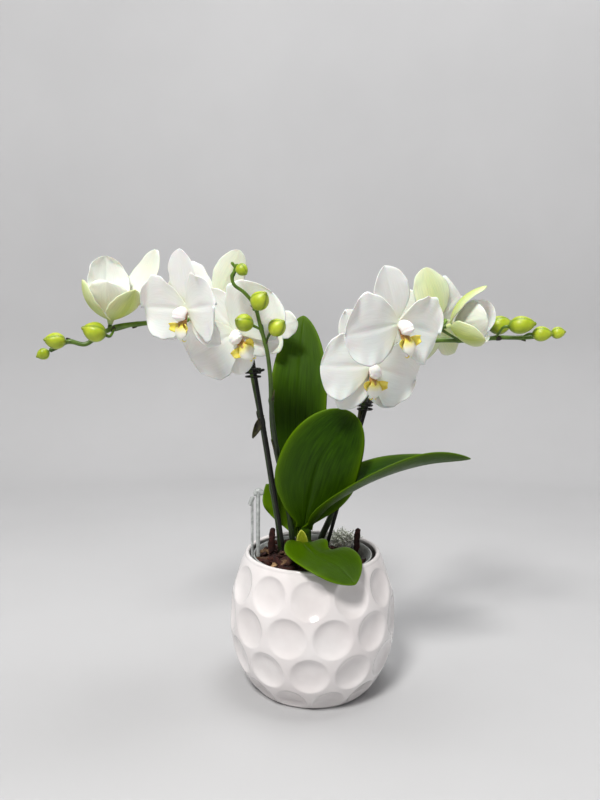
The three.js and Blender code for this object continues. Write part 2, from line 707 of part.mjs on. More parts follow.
/** The clear plastic label pick, whose two prongs straddle the nursery pot's wall. */
function labelPick() {
  const shape = new THREE.Shape(LABEL.outline.map(([x, y]) => new THREE.Vector2(x, y)));
  const geometry = new THREE.ExtrudeGeometry(shape, { depth: LABEL.thickness, bevelEnabled: false });
  geometry.rotateX(Math.PI / 2).translate(...LABEL.wall, NURSERY_POT.rim);
  return solid(geometry);
}

// ---- assembly ----------------------------------------------------------------------------------------

const potted = new THREE.Group();

function addNode(name, body, look) {
  const material = new THREE.MeshStandardMaterial({ metalness: 0, ...MATERIALS[look] });
  const mesh = new THREE.Mesh(geometryOf(body), material);
  mesh.name = name;
  potted.add(mesh);
}

const stakeRod = (name, extra = 0) => rod(STAKES[name].foot, STAKES[name].top, STAKE_RADIUS + extra);
const overBark = barkBed(GAP);

addNode('cover_pot', coverPot(), 'glaze');
addNode('nursery_pot', nurseryPot(), 'clearPlastic');
addNode('bark_bed', trimmed(barkBed(), [stakeRod('left', GAP), stakeRod('right', GAP)]), 'bark');
for (const [name, chip] of Object.entries(CHIPS)) {
  addNode(name, trimmed(barkChip(chip), [overBark]), 'bark');
}
addNode('moss_tuft', trimmed(mossTuft(), [overBark]), 'moss');

addNode('crown', trimmed(crown(), [overBark]), 'leaf');
const cutters = [crown(GAP), overBark];
for (const [name, shape] of Object.entries(LEAVES)) {
  addNode(name, trimmed(leaf(shape), cutters), name === 'leaf_new' ? 'youngLeaf' : 'leaf');
  cutters.push(leaf(shape, GAP));
}

for (const name of Object.keys(SPIKES)) {
  addNode(`spike_${name}`, trimmed(spike(name), [overBark]), 'spike');
}
for (const name of Object.keys(STAKES)) {
  addNode(`stake_${name}`, stakeRod(name), 'blackPlastic');
  addNode(`clip_${name}`, clawClip(name), 'blackPlastic');
}
addNode('label_pick', trimmed(labelPick(), [overBark]), 'clearPlastic');

FLOWERS.forEach((flower, index) => {
  addNode(`flower_${index + 1}_sepals`, sepals(flower), 'tepal');
  addNode(`flower_${index + 1}_petals`, petals(flower), 'tepal');
  addNode(`flower_${index + 1}_lip`, lip(flower), 'lip');
});
for (const [name, shape] of Object.entries(BUDS)) addNode(name, bud(shape), 'bud');

export default potted;
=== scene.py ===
"""Potted moth orchid: the looks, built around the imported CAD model.

Driving dimensions are in millimetres and repeat the CAD model's, so each fine piece lies where the
solid that it replaces lies. Meshes are written in metres.
"""

import math

import bmesh
import bpy
import numpy as np
from mathutils import Euler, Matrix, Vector, noise


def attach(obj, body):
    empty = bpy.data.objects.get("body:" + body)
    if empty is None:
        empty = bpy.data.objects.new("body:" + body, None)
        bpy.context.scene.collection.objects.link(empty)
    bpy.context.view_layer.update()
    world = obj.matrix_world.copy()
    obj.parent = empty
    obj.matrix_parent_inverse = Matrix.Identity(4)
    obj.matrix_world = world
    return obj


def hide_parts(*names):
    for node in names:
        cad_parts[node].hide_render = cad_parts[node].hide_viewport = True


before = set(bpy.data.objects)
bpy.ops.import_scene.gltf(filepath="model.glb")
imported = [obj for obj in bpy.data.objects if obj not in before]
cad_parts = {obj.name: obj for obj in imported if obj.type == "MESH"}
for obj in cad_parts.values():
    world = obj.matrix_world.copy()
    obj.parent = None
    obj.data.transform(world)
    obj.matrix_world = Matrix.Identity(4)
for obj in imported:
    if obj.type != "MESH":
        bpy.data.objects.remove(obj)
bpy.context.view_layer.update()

MM = 0.001
SEED = 7
RANDOM = np.random.default_rng(SEED)
noise.seed_set(SEED)

# ---- driving dimensions ----

POT = {
    "height": 106.5,
    "belly_height": 54.6,
    "belly_radius": 65.5,
    "lower_reach": 72.2,  # half height of the superellipse below the belly
    "upper_reach": 79.8,  # half height of the superellipse above the belly
    "roundness": 2.2,
    "foot_radius": 42.0,
    "mouth_radius": 50.0,
    "wall": 6.0,
    "wall_at_lip": 2.9,
    "floor": 6.0,
    "lip": (1.8, 2.1),  # half thickness and height of the rounded lip
}
DIMPLE = {
    "rows": (87.5, 61.0, 33.5, 8.0),
    "per_row": 12,
    "share": 0.88,  # how much of the spacing along a row a dimple takes up
    "depth": 4.2,
    "steepness": 3.0,
    "first_angle": -93.0,
    "crease": 0.015,  # how far the edge of a dimple is softened, as a share of its depth
}
NURSERY_POT = {"rim": 104.0, "base_radius": 33.0, "top_radius": 46.6, "wall": 1.1}
RIBS = {"count": 60, "depth": 0.35}  # upright ribs on the nursery pot
BARK = {"level": 100.5, "heap": 4.0, "dip": 7.0}
LOOSE_CHIPS = {"count": 150, "least": (6, 3, 2), "most": (15, 6.5, 4.5)}
SPLINTERS = {
    "tall": {"size": (6, 3, 22), "centre": (-32.5, -3, 114), "turns": (0.1, 0.05, 0.3)},
    "right": {"size": (5, 3, 26), "centre": (36, 10, 108), "turns": (-0.05, 0.12, 0.2)},
}
MOSS = {"centre": (24, 23, 106), "reach": (12, 6, 8), "threads": 210}
LABEL = {"x": -45.65, "y": -6.6, "knob": 53}  # the knob's height above the nursery pot's rim
CROWN = {"x": -6.0, "y": 1.0, "bottom": 96.0, "top": 131.0, "radius": 6.5}

STAKE_RADIUS = 1.5
STAKES = {
    "left": ((-15.5, -5, 60), (-46.4, -5, 257)),
    "right": ((-1, 8, 60), (43.5, 1, 226)),
}
CLIPS = {"left": (247, -1.5, 3), "right": (221, -1, 3)}  # height, and where the spike lies

LEAF_THICKNESS = 1.5
LEAVES = {
    "leaf_back_tall": {
        "route": ((-7, 4, 118), (-10, 10, 150), (-12, 20, 205), (-10, 31, 252), (-7, 42, 293)),
        "faces": ((0, -1, 0.2), (0, -1, 0.25)),
        "half_width": 23.5,
        "widest_at": 0.6,
        "fold": 0.1,
        "tip": 0.66,
        "tone": (0.0, 0.25),
    },
    "leaf_front_oval": {
        "route": ((-7, -2, 124), (-3, -10, 147), (6, -18, 181), (29, -20, 218)),
        "faces": ((0.1, -1, 0.25), (-0.05, -1, 0.1)),
        "half_width": 31,
        "widest_at": 0.46,
        "fold": 0.09,
        "tip": 0.5,
        "tone": (0.15, 0.0),
    },
    "leaf_right_arching": {
        "route": ((-3, -4, 125), (16, -19, 150), (46, -27, 169), (80, -31, 181), (116, -32, 185)),
        "faces": ((-0.6, -0.3, 0.85), (0, 0.32, 1)),
        "half_width": 24,
        "widest_at": 0.46,
        "fold": 0.4,
        "tip": 0.8,
        "tone": (0.0, 0.1),
    },
    "leaf_front_drooping": {
        "route": ((-8, -2, 110), (-7, -19, 117), (2, -38, 114.5), (18, -52, 109.5), (29, -62, 101)),
        "faces": ((0.1, -0.2, 1), (0.25, -0.5, 0.9)),
        "half_width": 24,
        "widest_at": 0.6,
        "fold": 0.1,
        "tip": 0.72,
        "tone": (0.35, 0.15),
        "notch": (0.46, 0.12, 0.36),
        "wave": 0.1,
    },
    "leaf_left_short": {
        "route": ((-9, 4, 112), (-20, 13, 131), (-38, 18, 155)),
        "faces": ((0.5, -1, 0.2), (0.3, -1, 0.5)),
        "half_width": 14,
        "widest_at": 0.7,
        "fold": 0.2,
        "tip": 1.1,
        "tone": (0.5, 0.5),
    },
    "leaf_new": {
        "route": ((-6, -5, 108), (-8, -9.5, 114), (-9, -11, 125)),
        "faces": ((0, -1, 0.4), (0, -1, 0.2)),
        "half_width": 4.5,
        "widest_at": 0.45,
        "fold": 0.4,
        "tip": 0.7,
        "tone": (0.0, 0.0),
    },
}

SPIKES = {
    "left": {
        "route": (
            (-25, 1.5, 104), (-27, 1, 125), (-30, 1, 145), (-35, 1, 178), (-39.5, 1, 206),
            (-44, 1, 230), (-49, 1, 253), (-55, 0, 268), (-67, -2, 281), (-83, -5, 286),
            (-106, -11, 287.5), (-127, -17, 284.5), (-145, -22, 282), (-157, -26, 276),
            (-167, -29, 269), (-178, -31, 271), (-187, -32, 266.5), (-191, -33, 264.5),
        ),
        "radii": (2.6, 1.6),
        "dry": ((-38.5, -1.5, 214), (-43, -3.5, 206), (-47, -4, 196)),
        "nodes": (0.16, 0.33),
    },
    "middle": {
        "route": (
            (-15.5, -2, 106), (-17.5, -2, 128), (-21.5, -5, 152), (-27.5, -11, 185),
            (-31, -20, 216), (-32, -28, 247), (-34, -34, 265), (-38, -40, 281), (-42, -43, 296),
            (-49, -46, 305), (-56, -48, 310.5), (-57, -49, 316), (-54.5, -50, 321), (-57, -51, 325),
        ),
        "radii": (2.4, 1.1),
        "nodes": (0.36, 0.53),
    },
    "right": {
        "route": (
            (5, 14, 106), (21, 14, 143), (33, 12, 182), (40, 7, 218), (46, 3, 243), (58, -1, 262),
            (74, -5, 269.5), (95, -7, 272), (120, -9, 272), (140, -11, 274), (160, -13, 274),
            (177, -16, 276),
        ),
        "radii": (2.7, 1.5),
        "nodes": (0.2, 0.38),
    },
}

BRACT_THICKNESS = 0.5
DRY_BRACT = {"half_width": 3.2, "thickness": 0.4}
GREEN_FROM, GREEN_BY = 215, 285  # heights between which the spikes turn from dark to fresh green
FLOWER_STALK, BUD_STALK = 1.2, 1  # radii
APPROACH = 0.2  # how much of a stalk's reach it comes in along its flower's or bud's axis

# Each flower: its spike and place along it, its centre and the way it faces in degrees, as in the
# CAD model. `green` is how much of the sepals' outside is still green.
FLOWERS = (
    {"spike": "left", "at": 0.79, "centre": (-149.5, -22.7, 289), "azimuth": 40, "elevation": 74,
     "roll": 80, "size": 1.1, "half_open": True, "green": 1.0,
     "dorsal": {"length": 60, "spread": (62, 2)}, "lateral": {"length": 34, "spread": (74, 2)},
     "petal_lengths": (43, 29), "petal_turns": (-78, 146), "lateral_turns": (-160, 84),
     "spread": {"petal": (48, 6)}},
    {"spike": "left", "at": 0.7, "approach": 0.1, "centre": (-90, -42, 294), "azimuth": -38,
     "elevation": -14, "roll": 6, "size": 0.98, "dorsal": {"length": 42}, "petal_turns": (-90, 80),
     "lateral_turns": (-124, 128), "spread": {"sepal": (84, 92), "petal": (82, 74)}},
    {"spike": "left", "at": 0.55, "centre": (-57.5, -26, 278), "azimuth": -8, "elevation": -14,
     "roll": -37, "size": 1.05, "dorsal": {"length": 36}, "lateral": {"length": 31}},
    {"spike": "left", "at": 0.6, "centre": (-76, 12, 303), "azimuth": 176, "elevation": 5,
     "roll": -27, "size": 1.05, "green": 0.35, "dorsal": {"length": 41, "half_width": 12},
     "petal_turns": (-104, 104), "lateral_turns": (-150, 150)},
    {"spike": "left", "at": 0.46, "approach": 0.1, "centre": (-41, 24, 281), "azimuth": 160,
     "elevation": 8, "roll": 4, "size": 0.82, "green": 0.3, "dorsal": {"length": 36},
     "lateral": {"length": 28}, "petal": {"half_width": 14}},
    {"spike": "right", "at": 0.5, "centre": (41.5, -33, 253), "azimuth": 20, "elevation": -10,
     "roll": 0, "size": 1.02, "petal_turns": (-88, 106), "dorsal": {"turn": -30, "length": 45}},
    {"spike": "right", "at": 0.6, "centre": (58.5, -50, 283.5), "azimuth": 33, "elevation": -6,
     "roll": -13, "size": 1.04, "dorsal": {"turn": -9, "half_width": 15},
     "petal_lengths": (46, 39), "petal_turns": (-88, 114), "lateral_turns": (-116, 132)},
    {"spike": "right", "at": 0.69, "centre": (98, 8, 288), "azimuth": 208, "elevation": 5,
     "roll": 12, "size": 1.08, "dorsal": {"half_width": 16}, "petal_turns": (-72, 86),
     "green": 0.7, "spread": {"sepal": (84, 64), "petal": (82, 60)}},
    {"spike": "right", "at": 0.77, "centre": (103, -22, 283), "azimuth": 68, "elevation": 12,
     "roll": -12, "size": 0.94, "half_open": True, "green": 1.0,
     "dorsal": {"length": 44, "spread": (76, -6)}, "petal_lengths": (31, 36),
     "lateral_turns": (-122, 140), "spread": {"sepal": (78, 6), "petal": (44, 4)}},
)
DORSAL = {"kind": "sepal", "turn": 0, "length": 39, "half_width": 13.5, "widest_at": 0.5}
LATERAL = {"kind": "sepal", "length": 37, "half_width": 12.5, "widest_at": 0.5}
LATERAL_TURNS = (-144, 144)
PETAL = {"kind": "petal", "half_width": 24, "widest_at": 0.56}
PETAL_LENGTHS = (40, 40)
PETAL_TURNS = (-82, 82)
# What petals and sepals differ in: how far they sit behind the flower's centre, how far they reach
# back over it, their ruffled edge, the outline's tip, their share of green, and the mesh's cells.
TEPALS = {
    "petal": {"set_back": 0.0, "overlap": 1.2, "ruffle": 0.085, "tip": 0.5, "green": 0.25,
              "cells": (44, 45)},
    "sepal": {"set_back": 1.9, "overlap": -0.6, "ruffle": 0.04, "tip": 0.62, "green": 1,
              "cells": (40, 29)},
}
TEPAL_THICKNESS = 0.8
KNOB_LENGTH = 5.0
OPEN = {
    "sepal": (84, 96),
    "petal": (84, 96),
    "width": {"sepal": 1, "petal": 1},
    "cup": 0.1,
}
HALF_OPEN = {
    "sepal": (86, 8),
    "petal": (48, 4),
    "width": {"sepal": 1.05, "petal": 0.62},
    "cup": 0.32,
}

LIP = {"scale": 1, "forward": 2.4}
HALF_OPEN_LIP = {"scale": 0.25, "forward": 8}  # a small one, deep in the cup

# Each bud: its spike, its place along it, its centre, the way it points, its length and radius.
BUDS = {
    "bud_left_1": ("left", 0.84, (-157.5, -36.5, 278), (-0.85, -0.4, 0.3), 17, 7.3),
    "bud_left_2": ("left", 0.95, (-184.5, -40, 271.5), (-0.8, -0.6, 0.1), 15, 6),
    "bud_left_3": ("left", 1, (-195.8, -34.5, 262), (-0.8, -0.2, -0.4), 9.5, 4.2),
    "bud_middle_1": ("middle", 0.72, (-26, -42, 281), (0.6, -0.5, 0.5), 14.5, 6.4),
    "bud_middle_2": ("middle", 0.765, (-49, -50, 284), (-0.6, -0.6, 0.2), 14.5, 6.3),
    "bud_middle_3": ("middle", 0.83, (-37.5, -53, 299), (0.5, -0.5, 0.6), 15, 6.6),
    "bud_middle_4": ("middle", 0.955, (-49.5, -55, 319.5), (0.55, -0.5, -0.5), 10, 4.2),
    "bud_right_1": ("right", 0.82, (143, -6, 283.5), (0.9, 0.1, 0.25), 18, 7.2),
    "bud_right_2": ("right", 0.865, (153, -25, 283), (0.95, -0.25, 0.1), 19, 6.6),
    "bud_right_3": ("right", 0.93, (169, -22.5, 276.5), (0.95, -0.2, 0), 14.5, 5.6),
    "bud_right_4": ("right", 1, (183, -17, 277.5), (1, -0.1, 0.15), 10.5, 4.5),
}

# The stage's floor lies a little below the pot's foot. Its wall is round, behind the camera too.
STAGE = {"reach": 1800, "back": 1050, "bend": 300, "top": 2600, "drop": 0.05}
STAGE_TONES = ((184, 184, 185), (189, 189, 190))
WORLD = {"colour": (0.97, 0.98, 1.0, 1), "strength": 0.06}
# In metres and watts: each light's place, size, power and colour. All point at LIT.
LIT = (0, 0, 0.2)
LIGHTS = {
    "key": ((-0.42, -1.0, 1.52), 0.4, 29, (1, 0.985, 0.965)),
    "top": ((0.25, 0.1, 1.9), 0.9, 18, (1, 1, 1)),
    "fill": ((1.4, -1.2, 0.9), 1.4, 2, (0.95, 0.97, 1)),
}
CAMERA = {"sensor": 36, "lens": 28.67, "place": (-0.010, -0.496, 0.269), "tilt": 85}

# ---- shapes: vertices, faces and the numbers that the materials read ----


def unit(vectors):
    """Vectors along the last axis, scaled to length 1."""
    return vectors / np.maximum(np.linalg.norm(vectors, axis=-1, keepdims=True), 1e-9)


def lerp(a, b, t):
    """The value a share t of the way from a to b."""
    return a + (b - a) * t


class Shape:
    """Vertices in mm, faces, each face's material, and named numbers for each vertex."""

    def __init__(self, vertices, faces, marks=None):
        self.vertices = np.asarray(vertices, float).reshape(-1, 3)
        self.faces = [tuple(face) for face in faces]
        self.marks = {name: np.ravel(values) for name, values in (marks or {}).items()}
        self.slots = [0] * len(self.faces)

    def add(self, other, slot=0):
        """Takes in another shape, with its faces in the given material slot."""
        start = len(self.vertices)
        self.vertices = np.vstack([self.vertices, other.vertices])
        self.faces += [tuple(corner + start for corner in face) for face in other.faces]
        self.slots += [slot] * len(other.faces)
        for name in {**self.marks, **other.marks}:
            mine = self.marks.get(name, np.zeros(start))
            theirs = other.marks.get(name, np.zeros(len(other.vertices)))
            self.marks[name] = np.concatenate([mine, theirs])
        return self


def combine(shapes):
    """Shapes joined into one."""
    whole = Shape(np.zeros((0, 3)), [])
    for shape in shapes:
        whole.add(shape)
    return whole


def quads(ids):
    """The faces of a grid of vertex numbers."""
    a, b, c, d = ids[:-1, :-1], ids[1:, :-1], ids[1:, 1:], ids[:-1, 1:]
    return np.stack([a, b, c, d], -1).reshape(-1, 4)


def sheet(surface, thickness, size, mark=None):
    """A closed thin sheet about surface(u, v), u from 0 to 1 and v from -1 to 1."""
    rows, columns = size
    u, v = np.meshgrid(np.linspace(0, 1, rows), np.linspace(-1, 1, columns), indexing="ij")
    middle = surface(u, v)
    normal = unit(np.cross(np.gradient(middle, axis=1), np.gradient(middle, axis=0)))
    half = thickness / 2 * np.sqrt((1 - v**6) * (1 - u**12))[..., None]
    ids = np.arange(rows * columns).reshape(rows, columns)
    inner = np.zeros((rows, columns), bool)
    inner[1:-1, 1:-1] = True
    under = ids.copy()
    under[inner] = rows * columns + np.arange(inner.sum())
    upper = np.where(inner[..., None], middle + normal * half, middle)
    lower = (middle - normal * half)[inner]
    faces = np.vstack([quads(ids)[:, ::-1], quads(under)])
    side = np.where(inner, 1.0, 0.5)
    marks = {
        "along": np.concatenate([u.ravel(), u[inner]]),
        "across": np.concatenate([v.ravel(), v[inner]]),
        "upper": np.concatenate([side.ravel(), np.zeros(inner.sum())]),
    }
    shape = Shape(np.vstack([upper.reshape(-1, 3), lower]), faces, marks)
    if mark:
        name, rule = mark
        shape.marks[name] = rule(shape.marks["along"], shape.marks["across"], shape.marks["upper"])
    return shape


def hermite(points, steps):
    """The centripetal spline between the middle two of four points."""
    before, middle, after = (np.linalg.norm(points[i + 1] - points[i]) ** 0.5 for i in range(3))
    d0, d1, d2 = points[1] - points[0], points[2] - points[1], points[3] - points[2]
    leave = (d0 / before - (d0 + d1) / (before + middle) + d1 / middle) * middle
    arrive = (d1 / middle - (d1 + d2) / (middle + after) + d2 / after) * middle
    t = np.linspace(0, 1, steps, endpoint=False)[:, None]
    bend = 3 * d1 - 2 * leave - arrive
    return points[1] + leave * t + bend * t**2 + (leave + arrive - 2 * d1) * t**3


class Route:
    """A smooth line through points, read by share of its length."""

    def __init__(self, points):
        knots = np.array(points, float)
        knots = np.vstack([2 * knots[0] - knots[1], knots, 2 * knots[-1] - knots[-2]])
        runs = [hermite(knots[i : i + 4], 40) for i in range(len(knots) - 3)]
        self.points = np.vstack(runs + [knots[-2:-1]])
        steps = np.linalg.norm(np.diff(self.points, axis=0), axis=1)
        self.share = np.concatenate([[0], np.cumsum(steps)]) / steps.sum()
        self.length = steps.sum()

    def at(self, t):
        columns = [np.interp(t, self.share, self.points[:, k]) for k in range(3)]
        return np.stack(columns, -1)

    def along(self, t, step=0.01):
        ahead, behind = np.clip(t + step, 0, 1), np.clip(t - step, 0, 1)
        return unit(self.at(ahead) - self.at(behind))


def frames(route, t):
    """Two directions across a route at each t, turned as little as possible along it."""
    forward = route.along(t)
    first = np.cross(forward[0], (0.3, 1, 0.2))
    sides = [unit(first)]
    for ahead in forward[1:]:
        side = sides[-1] - ahead * np.dot(sides[-1], ahead)
        sides.append(unit(side))
    sides = np.array(sides)
    return sides, np.cross(forward, sides)


def tube(route, radius, sides=14, spans=40, ends=2):
    """A closed bar along a route. radius(t, angle) may return one number or one per vertex."""
    t = np.concatenate([np.zeros(ends), np.linspace(0, 1, spans), np.ones(ends)])
    shrink = np.ones(len(t))
    shrink[:ends] = np.sin(np.linspace(0, math.pi / 2, ends + 1))[:ends]
    shrink[-ends:] = shrink[:ends][::-1]
    angle = np.linspace(0, 2 * math.pi, sides, endpoint=False)
    right, up = frames(route, t)
    wide = radius(t[:, None], angle[None, :]) * np.ones((len(t), sides))
    cap = np.zeros(len(t))
    cap[:ends] = -(1 - np.cos(np.linspace(math.pi / 2, 0, ends + 1)))[:ends]
    cap[-ends:] = -cap[:ends][::-1]
    out = np.cos(angle)[None, :, None] * right[:, None] + np.sin(angle)[None, :, None] * up[:, None]
    forward = route.along(t)
    rim = wide.mean(1)
    centre = route.at(t) + forward * (cap * rim * 0.6)[:, None]
    rings = centre[:, None] + out * (wide * np.maximum(shrink, 0.04)[:, None])[..., None]
    ids = np.arange(len(t) * sides).reshape(len(t), sides)
    ids = np.hstack([ids, ids[:, :1]])
    faces = [tuple(face) for face in quads(ids)[:, ::-1]]
    last = len(t) * sides - 1
    faces += [tuple(range(sides)), tuple(range(last, last - sides, -1))]
    marks = {"along": np.repeat(t, sides), "around": np.tile(angle, len(t))}
    return Shape(rings.reshape(-1, 3), faces, marks)


def lathe(profile, segments, adjust=None):
    """A solid of revolution about Z. The profile of (radius, height) starts and ends on it."""
    radius, height = np.array(profile[1:-1], float).T
    turn = np.linspace(0, 2 * math.pi, segments, endpoint=False)
    wide = np.repeat(radius[:, None], segments, 1)
    high = np.repeat(height[:, None], segments, 1)
    if adjust:
        wide, high = adjust(wide, high, turn[None, :])
    rings = np.stack([wide * np.cos(turn), wide * np.sin(turn), high], -1).reshape(-1, 3)
    count = len(radius)
    ids = np.arange(count * segments).reshape(count, segments)
    ids = np.hstack([ids, ids[:, :1]])
    faces = [tuple(face) for face in quads(ids)[:, ::-1]]
    bottom, top = count * segments, count * segments + 1
    for k in range(segments):
        faces.append((bottom, ids[0, k + 1], ids[0, k]))
        faces.append((top, ids[-1, k], ids[-1, k + 1]))
    ends = [(0, 0, profile[0][1]), (0, 0, profile[-1][1])]
    return Shape(np.vstack([rings, ends]), faces)


def smoothest(values, width):
    """The greatest of some arrays, blended where they cross."""
    best = values[0]
    for value in values[1:]:
        best = 0.5 * (best + value + np.sqrt((best - value) ** 2 + width**2))
    return best


# ---- materials ----


def rgb(red, green, blue):
    """A colour given as it shows on a screen, from 0 to 255."""
    shown = np.array([red, green, blue]) / 255
    linear = np.where(shown <= 0.04045, shown / 12.92, ((shown + 0.055) / 1.055) ** 2.4)
    return (*linear, 1.0)


class Look:
    """A procedural material, built up from nodes."""

    def __init__(self, name, **surface):
        self.material = bpy.data.materials.new(name)
        self.material.use_nodes = True
        self.tree = self.material.node_tree
        self.surface = self.tree.nodes["Principled BSDF"]
        for socket, value in surface.items():
            self.surface.inputs[socket.replace("_", " ")].default_value = value

    def node(self, kind, inputs=None, **settings):
        made = self.tree.nodes.new("ShaderNode" + kind)
        for key, value in settings.items():
            setattr(made, key, value)
        for key, value in (inputs or {}).items():
            self.feed(made.inputs[key], value)
        return made

    def feed(self, socket, value):
        if isinstance(value, bpy.types.NodeSocket):
            self.tree.links.new(value, socket)
        else:
            socket.default_value = value

    def mark(self, name):
        return self.node("Attribute", attribute_name=name).outputs["Fac"]

    def place(self):
        return self.node("TexCoord").outputs["Object"]

    def maths(self, operation, a, b=0.0):
        return self.node("Math", {0: a, 1: b}, operation=operation).outputs[0]

    def noise(self, scale, detail=4.0, roughness=0.55, vector=None, distortion=0.0):
        inputs = {
            "Vector": vector or self.place(),
            "Scale": scale,
            "Detail": detail,
            "Roughness": roughness,
            "Distortion": distortion,
        }
        return self.node("TexNoise", inputs).outputs["Fac"]

    def ramp(self, factor, *stops):
        made = self.node("ValToRGB", {"Fac": factor})
        points = made.color_ramp.elements
        while len(points) < len(stops):
            points.new(0.5)
        for point, (position, colour) in zip(points, stops):
            point.position = position
            point.color = colour if isinstance(colour, tuple) else (colour, colour, colour, 1)
        return made.outputs["Color"]

    def mix(self, factor, a, b):
        return self.node("Mix", {0: factor, 6: a, 7: b}, data_type="RGBA").outputs[2]

    def colour(self, value):
        self.feed(self.surface.inputs["Base Color"], value)

    def rough(self, value):
        self.feed(self.surface.inputs["Roughness"], value)

    def bump(self, height, strength, distance):
        """Adds a bump, in metres of height, on top of any that is there."""
        socket = self.surface.inputs["Normal"]
        inputs = {"Height": height, "Strength": strength, "Distance": distance}
        if socket.links:
            inputs["Normal"] = socket.links[0].from_socket
        self.feed(socket, self.node("Bump", inputs).outputs["Normal"])


def vein_vector(look, stretch, wander):
    """A coordinate whose first part runs across a blade and barely changes along it."""
    across = look.maths("MULTIPLY", look.mark("across"), stretch)
    along = look.maths("MULTIPLY", look.mark("along"), wander)
    parts = {"X": across, "Y": along, "Z": look.mark("upper")}
    return look.node("CombineXYZ", parts).outputs[0]


def mottled_look(name, colour, bump=None, rough=None, **surface):
    """A look of noise alone. Each part gives a noise's scale and detail, and then what it drives:
    the stops of a ramp for colour and roughness, the strength and distance of the bump."""
    look = Look(name, **surface)
    scale, detail, *stops = colour
    look.colour(look.ramp(look.noise(scale, detail), *stops))
    if rough:
        scale, detail, *stops = rough
        look.rough(look.ramp(look.noise(scale, detail), *stops))
    if bump:
        scale, detail, strength, distance = bump
        look.bump(look.noise(scale, detail), strength, distance)
    return look.material


def bark_look():
    """Dark, rough and grainy, with a pale chip here and there."""
    look = Look("bark", Roughness=0.85)
    grain = look.noise(220, 8, 0.7, distortion=0.6)
    dark = look.ramp(grain, (0.3, rgb(16, 6, 4)), (0.55, rgb(58, 20, 12)), (0.8, rgb(104, 50, 30)))
    pale = look.ramp(grain, (0.3, rgb(96, 62, 36)), (0.7, rgb(214, 176, 128)))
    look.colour(look.mix(look.mark("pale"), dark, pale))
    look.bump(grain, 0.9, 0.0016)
    return look.material


def leaf_look(name, deep, light, edge):
    """A waxy blade: dark upper side with lengthwise veins, paler margin and underside."""
    look = Look(name, Specular_IOR_Level=0.12)
    fine = look.noise(9, 3, 0.5, vein_vector(look, 2.2, 0.7))
    colour = look.ramp(fine, (0.3, deep), (0.72, light))
    colour = look.mix(look.mark("tone"), colour, edge)
    margin = look.maths("POWER", look.maths("ABSOLUTE", look.mark("across")), 9.0)
    tip = look.maths("POWER", look.mark("along"), 14.0)
    rim = look.maths("MINIMUM", look.maths("ADD", margin, tip), 1.0)
    colour = look.mix(look.maths("MULTIPLY", rim, 0.75), colour, edge)
    below = look.maths("SUBTRACT", 1.0, look.mark("upper"))
    colour = look.mix(look.maths("MULTIPLY", below, 0.12), colour, edge)
    look.colour(colour)
    look.rough(look.ramp(look.noise(90, 3), (0.3, 0.3), (0.8, 0.46)))
    look.bump(look.noise(26, 2, 0.4, vein_vector(look, 3.0, 0.25)), 0.22, 0.001)
    look.bump(look.noise(900, 2), 0.12, 0.0002)
    return look.material


def stem_look():
    """Green towards the tip and nearly black by the stakes, mottled."""
    look = Look("stem", Roughness=0.42)
    mottle = look.noise(110, 4)
    fresh = look.ramp(mottle, (0.3, rgb(58, 88, 16)), (0.7, rgb(104, 138, 30)))
    old = look.ramp(mottle, (0.35, rgb(16, 26, 4)), (0.7, rgb(40, 62, 12)))
    look.colour(look.mix(look.mark("fresh"), old, fresh))
    look.bump(look.noise(500, 3), 0.25, 0.0004)
    return look.material


def bud_look():
    """Yellow-green, darker at the base, the point and the seams."""
    look = Look("bud", Roughness=0.42, Subsurface_Weight=0.1, Subsurface_Scale=0.003)
    cloud = look.noise(70, 3)
    body = look.ramp(cloud, (0.3, rgb(146, 166, 12)), (0.7, rgb(194, 208, 50)))
    shade = look.ramp(look.mark("along"), (0.0, 0.9), (0.22, 0.1), (0.8, 0.0), (1.0, 0.55))
    colour = look.mix(shade, body, rgb(72, 104, 18))
    look.colour(look.mix(look.mark("seam"), colour, rgb(92, 124, 20)))
    look.bump(look.noise(300, 3), 0.15, 0.0004)
    return look.material


def tepal_look():
    """A petal or sepal: white and softly veined, green where it is still young."""
    surface = {"Subsurface_Weight": 0.2, "Subsurface_Scale": 0.0025, "Sheen_Weight": 0.15}
    look = Look("tepal", Roughness=0.5, **surface)
    vein = look.noise(7, 4, 0.55, vein_vector(look, 4.0, 0.5))
    white = look.ramp(vein, (0.3, rgb(236, 237, 234)), (0.65, rgb(244, 245, 243)))
    heart = look.ramp(look.mark("along"), (0.0, 0.7), (0.16, 0.12), (0.4, 0.0))
    white = look.mix(heart, white, rgb(226, 232, 196))
    green = look.ramp(vein, (0.3, rgb(146, 174, 4)), (0.7, rgb(190, 208, 34)))
    look.colour(look.mix(look.mark("green"), white, green))
    look.bump(vein, 0.1, 0.0008)
    look.bump(look.noise(1400, 2), 0.15, 0.0002)
    return look.material


def lip_look():
    """The lip: red-brown and yellow at the heart, yellow side lobes, white tip."""
    look = Look("lip", Roughness=0.42, Subsurface_Weight=0.15, Subsurface_Scale=0.002)
    speckle = look.noise(420, 3)
    streaks = look.noise(12, 2, 0.5, vein_vector(look, 6.0, 1.0))
    yellow = look.ramp(speckle, (0.3, rgb(236, 214, 44)), (0.7, rgb(250, 238, 120)))
    streaked = look.ramp(streaks, (0.42, 0.0), (0.56, 1.0))
    heart = look.mix(streaked, rgb(214, 150, 96), rgb(112, 40, 30))
    base = look.ramp(look.mark("along"), (0.0, 1.0), (0.28, 0.8), (0.4, 0.0))
    white = look.mix(look.mark("white"), yellow, rgb(246, 244, 232))
    look.colour(look.mix(base, white, heart))
    look.bump(speckle, 0.2, 0.0004)
    return look.material


